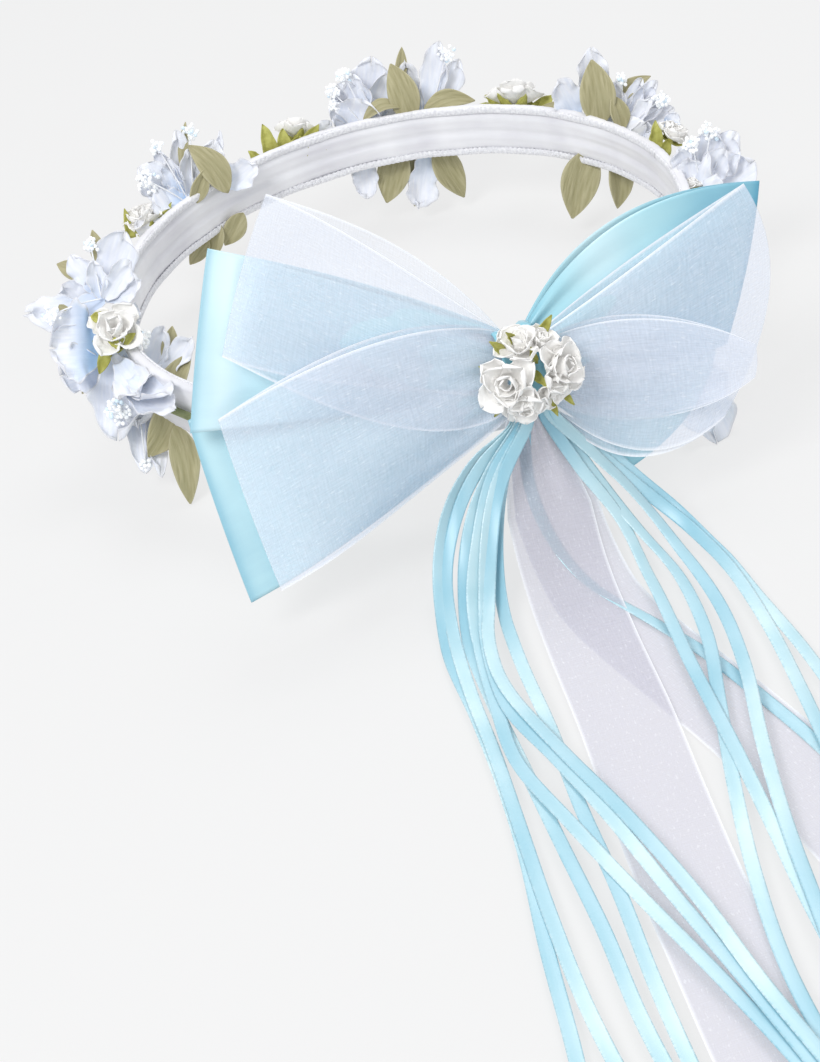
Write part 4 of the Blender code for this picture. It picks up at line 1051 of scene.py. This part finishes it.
def make_loop(name):
    """A wide ribbon gathered at the knot, opened towards its fold, and brought back in front."""
    (kind, fold_top, fold_foot, fold_bow, fold_depth, knot_depth, puff, top_back, top_front,
     foot_back, foot_front, root_top, root_foot) = BOW_LOOPS[name]
    rows, columns = 96, 48
    t = np.linspace(0.0, 1.0, rows + 1)
    s = (1 - np.cos(2 * np.pi * t)) / 2
    front = (1 - np.cos(np.pi * t)) / 2
    back, front = (1 - front)[:, None], front[:, None]
    top = curve_through(root_top, top_back, fold_top, s) * back
    top = top + curve_through(root_top, top_front, fold_top, s) * front
    foot = curve_through(root_foot, foot_back, fold_foot, s) * back
    foot = foot + curve_through(root_foot, foot_front, fold_foot, s) * front
    v = np.linspace(-1.0, 1.0, columns + 1)[None, :, None]
    flat = foot[:, None, :] * (1 - v) / 2 + top[:, None, :] * (1 + v) / 2
    outward = unit(np.array(fold_top) + np.array(fold_foot) - np.array(root_top) - np.array(root_foot))
    flat = flat + outward * (fold_bow * s[:, None, None] ** 3 * (1 - v ** 2))
    s, t, v = s[:, None], t[:, None], v[..., 0]
    ease = s * s * (3 - 2 * s)
    layer = -np.cos(np.pi * t)
    depth = knot_depth + (fold_depth - knot_depth) * ease
    fold_round = 1.9 if kind == "satin" else 0.7
    depth = depth + layer * (fold_round * s + puff * np.sin(np.pi * s ** 0.7) ** 0.8 * (1 - 0.85 * v ** 2))
    phase = RNG.uniform(0, 6.28)
    gathers = np.exp(-4.5 * s) * (np.sin(9.0 * v + phase) + 0.6 * np.sin(17.0 * v - phase))
    broad = np.sin(np.pi * s) * (0.45 * np.sin(3.1 * v + phase + 2.0 * s) + 0.25 * np.sin(6.3 * v - phase))
    depth = depth + 1.1 * gathers * (1 - np.exp(-12 * s)) + broad * (0.8 if kind == "satin" else 0.6)
    if kind == "satin":
        depth = depth + 1.2 * layer * np.exp(-((s - 0.92) / 0.045) ** 2)
    turned_under = np.maximum(-v, 0.0) ** 2 * np.sin(np.pi * np.minimum(1.15 * s, 1.0)) ** 1.5
    depth = depth - (5.0 if name.endswith("lower") else 1.0) * turned_under
    points = KNOT + MM * (flat[..., :1] * BOW_ACROSS + flat[..., 1:] * BOW_UP + depth[..., None] * BOW_OUT)
    width = MM * float(np.linalg.norm(top - foot, axis=1).max())
    reach = 2.05 * MM * math.dist(np.add(fold_top, fold_foot) / 2, np.add(root_top, root_foot) / 2)
    woven = np.stack(np.broadcast_arrays(v * width / 2, t * reach, 0.0), axis=-1)
    line = 0.972 if kind == "organza" else 0.985
    edge = np.clip((np.abs(v) - line) / (1 - line), 0.0, 1.0) ** 0.5
    # Painted shade: darker along the turned-under foot, in the gathers by the knot, at the fold's very end,
    # on the broad folds and, where the table says, towards the fold.
    foot_shade, far_shade = LOOP_PAINTED_SHADE.get(name, (0.75, 0.0))
    deep = foot_shade * turned_under
    deep = deep + 0.5 * np.exp(-9 * s) + 0.45 * np.exp(-((1 - s) / 0.02) ** 2)
    deep = deep + 0.22 * np.clip(broad, 0, 1)
    deep = deep + far_shade * np.clip((s - 0.6) / 0.25, 0.0, 1.0)
    # Painted highlight: lighter all over and most of all in a band across the loop.
    base, peak, place, spread = LOOP_PAINTED_HIGHLIGHT.get(name, (0.0, 0.0, 0.5, 0.1))
    shine = base + peak * np.exp(-((s - place) / spread) ** 2) * (0.8 + 0.2 * v)
    loop = Cloth()
    loop.add_grid(points, cloth=woven, edge=edge, deep=np.clip(deep, 0.0, 0.9), shine=shine)
    look = (TURQUOISE, "turquoise_satin") if kind == "satin" else (BOW_ORGANZA, "organza")
    thickness = SATIN_THICKNESS if kind == "satin" else 0.0
    piece = loop.make(name.replace("loop", "bow_loop"), *look, (name,), thickness)


def make_knot():
    """Satin wound round the middle of the bow, drawn in by its own folds."""
    half = (KNOT_HIGH - KNOT_LOW) / 2
    tall, deep = 0.0102, 0.0048
    turn = np.linspace(0, 2 * np.pi, 61)[:, None]
    v = np.linspace(-1.0, 1.0, 17)[None, :]
    squared = (np.abs(np.cos(turn)) ** 4 + np.abs(np.sin(turn)) ** 4) ** -0.25
    fold = 0.0003 * np.cos(9 * v + 1.5 * np.sin(turn)) + 0.0004 * v ** 2
    up = (tall + fold) * np.cos(turn) * squared
    out = (deep + fold) * np.sin(turn) * squared
    across = half[0] * v
    points = KNOT + across[..., None] * BOW_ACROSS + up[..., None] * BOW_UP + out[..., None] * BOW_OUT
    flat = np.stack(np.broadcast_arrays(across, turn * tall, 0.0), axis=-1)
    wrap = Cloth()
    # Painted shade: the wrap is tinted a little towards the satin's shade colour all over.
    wrap.add_grid(points, cloth=flat, edge=0.0, deep=0.15)
    wrap.make("knot_wrap", TURQUOISE, "turquoise_satin", ("knot_band",), 0.0003)


def make_rosette():
    """The paper roses on the knot, with calyx tips between them."""
    roses, sepals = Cloth(), Cloth()
    for centre, radius, lean in ROSETTE_ROSES:
        axis = lean[0] * BOW_ACROSS + lean[1] * BOW_UP + lean[2] * BOW_OUT
        add_rose(roses, bow_spot(centre), axis, radius * MM)
    nodes = ["rosette_rose_%d" % (k + 1) for k in range(4)]
    roses.make("rosette_roses", PAPER, "white_paper", nodes, 0.0002)
    for foot, tip, width in ROSETTE_SEPALS:
        blade(sepals, bow_spot(foot), bow_spot(tip), width * MM, unit(BOW_OUT + 0.2 * BOW_UP),
              sepal_outline, cup=0.9, arch=0.08, crease=0.2, ruffle=0.08, rows=10, columns=6)
    sepals.make("rosette_sepals", CALYX, "calyx_paper", ("rosette_calyx",), 0.0002)


# ---------------------------------------------------------------- trailing cloth

def drape(across, run, lift):
    """The cloth's lie: a quarter round down from the knot, then flat on the table."""
    top_y = RING_CENTRE[1] - BOW_REACH - RIBBON_TOP_FORWARD
    drop = RIBBON_TOP_Z - TABLE_GAP
    if run < drop * math.pi / 2:
        turn = run / drop
        place = Vector((0, top_y - drop * (1 - math.cos(turn)), RIBBON_TOP_Z - drop * math.sin(turn)))
        out = Vector((0, -math.cos(turn), math.sin(turn)))
    else:
        place = Vector((0, top_y - drop - (run - drop * math.pi / 2), TABLE_GAP))
        out = Vector((0, 0, 1))
    place.x = RING_CENTRE[0] + across
    return place + out * lift, out


def smooth_route(points, step):
    """Evenly spaced points on a smooth curve through the route's own points."""
    ends = [2 * points[0] - points[1]] + points + [2 * points[-1] - points[-2]]
    fine = []
    for a, b, c, d in zip(ends, ends[1:], ends[2:], ends[3:]):
        for k in range(12):
            t = k / 12
            bend = (2 * a - 5 * b + 4 * c - d) * t * t + (3 * b - 3 * c + d - a) * t * t * t
            fine.append(b + ((c - a) * t + bend) / 2)
    fine.append(points[-1])
    lengths = [0.0]
    for a, b in zip(fine, fine[1:]):
        lengths.append(lengths[-1] + (b - a).length)
    count = max(2, round(lengths[-1] / step))
    spaced = []
    i = 0
    for k in range(count + 1):
        wanted = lengths[-1] * k / count
        while i < len(fine) - 2 and lengths[i + 1] < wanted:
            i += 1
        share = (wanted - lengths[i]) / (lengths[i + 1] - lengths[i])
        spaced.append(fine[i].lerp(fine[i + 1], min(share, 1.0)))
    return spaced


def make_trailing(name, layer, route, width, sheer):
    """A ribbon or tail on its route, a little rolled and cupped as it lies."""
    hidden_start = (0.6 * route[0][0], -HIDDEN_RUN)
    points = [Vector((across * MM, run * MM)) for across, run in (hidden_start, *route)]
    columns = 24 if sheer else 8
    path, grid, flat, edges, painted_shades = [], [], [], [], []
    spaced = smooth_route(points, ROUTE_STEP)
    phase = RNG.uniform(0, 6.28)
    line = [drape(across, run, layer * LAYER_PITCH) for across, run in spaced]
    for k, (place, out) in enumerate(line):
        ahead = line[min(k + 1, len(line) - 1)][0] - line[max(k - 1, 0)][0]
        along = k * ROUTE_STEP
        side = out.cross(ahead).normalized()
        settled = min(along / GATHER_RUN, 1.0)
        if sheer:
            opened = GATHERED_SHARE + (1 - GATHERED_SHARE) * settled ** 0.8
            roll = 0.0
        else:
            opened = 1.0
            lying = min(max((0.09 - along) / 0.05, 0.0), 1.0)
            roll = (0.10 + 0.42 * lying) * math.sin(along / 0.021 + phase)
        row, woven, rim = [], [], []
        # Painted shade on the ribbons: darker where they roll and in a slow wave along the run.
        shade = 0.25 + 0.25 * math.sin(along / 0.017 + phase) + 0.5 * abs(math.sin(roll))
        for j in range(columns + 1):
            v = 2 * j / columns - 1
            if sheer:
                pleat = (1 - settled) * 0.0012 * math.sin(9 * v + phase)
                height = pleat + 0.00012 * math.sin(4.2 * v + along * 60 + phase)
            else:
                height = 0.00012 * (1 - v * v)
            sideways = v * width / 2 * opened
            spot = place + side * (sideways * math.cos(roll)) + out * (height + sideways * math.sin(roll))
            spot.z = max(spot.z, TABLE_SKIN)
            row.append(tuple(spot))
            woven.append((v * width / 2, along, 0.0))
            line_at = 0.95 if sheer else 0.70
            rim.append(min(max((abs(v) - line_at) / (1 - line_at), 0.0), 1.0))
        grid.append(row)
        flat.append(woven)
        edges.append(rim)
        painted_shades.append([min(shade, 1.0)] * (columns + 1))
        path.append(tuple(place))
    cloth = Cloth()
    cloth.add_grid(np.array(grid), cloth=np.array(flat), edge=np.array(edges), deep=np.array(painted_shades))
    look = (TAIL_ORGANZA, "organza") if sheer else (RIBBON_SATIN, "turquoise_satin")
    plain_name = name.replace("ribbon", "satin_ribbon").replace("organza_tail", "sheer_tail")
    piece = cloth.make(plain_name, *look, (name,), 0.0 if sheer else SATIN_THICKNESS)


# ---------------------------------------------------------------- studio

def make_camera():
    data = bpy.data.cameras.new("display_camera")
    data.sensor_fit = "HORIZONTAL"
    data.sensor_width = 36
    data.lens = VIEW_LENS
    data.clip_start = 0.01
    data.clip_end = 200
    camera = add_object("display_camera", data)
    turned = Matrix((SHOW_RIGHT, SHOW_UP, SHOW_OUT)).transposed().to_4x4()
    turned.translation = Vector(VIEW_PLACE)
    camera.matrix_world = turned
    bpy.context.scene.camera = camera


def make_studio():
    """A pale floor that glows a little, a soft sky and three panels."""
    reach = 40.0
    corners = [(-reach, -reach, 0), (reach, -reach, 0), (reach, reach, 0), (-reach, reach, 0)]
    mesh = bpy.data.meshes.new("studio_floor")
    mesh.from_pydata(corners, [], [(0, 1, 2, 3)])
    floor = add_object("studio_floor", mesh)
    paint = Finish("pale_floor", 0.9, Base_Color=(0.18, 0.18, 0.18, 1.0), Specular_IOR_Level=0.0,
                   Emission_Color=(1.0, 1.0, 1.0, 1.0), Emission_Strength=0.68)
    mesh.materials.append(paint.material)

    world = bpy.data.worlds.new("soft_studio")
    world.use_nodes = True
    sky = world.node_tree.nodes["Background"].inputs
    sky["Color"].default_value = (0.96, 0.97, 1.0, 1.0)
    sky["Strength"].default_value = 0.56
    bpy.context.scene.world = world

    target = Vector((0.0, -0.05, 0.03))
    for name, place, power, size in (("key_panel", (-0.6, -0.45, 0.95), 6.8, 0.45),
                                     ("top_panel", (0.35, 0.35, 1.1), 5.0, 0.6),
                                     ("front_panel", (-0.05, -1.0, 0.54), 1.6, 0.5)):
        data = bpy.data.lights.new(name, "AREA")
        data.energy = power
        data.size = size
        light = add_object(name, data)
        light.location = place
        light.rotation_euler = (target - Vector(place)).to_track_quat("-Z", "Y").to_euler()
    bpy.context.scene.view_settings.view_transform = "Standard"


def make_crown():
    make_camera()
    for name, (layer, *route) in RIBBON_ROUTES.items():
        make_trailing(name, layer, route, RIBBON_WIDTH, False)
    for name, (layer, *route) in TAIL_ROUTES.items():
        make_trailing(name, layer, route, TAIL_WIDTH, True)
    make_band()
    make_knot()
    for name in BOW_LOOPS:
        make_loop(name)
    make_rosette()
    for name in CLUSTERS:
        make_cluster(name)
    make_studio()


make_crown()
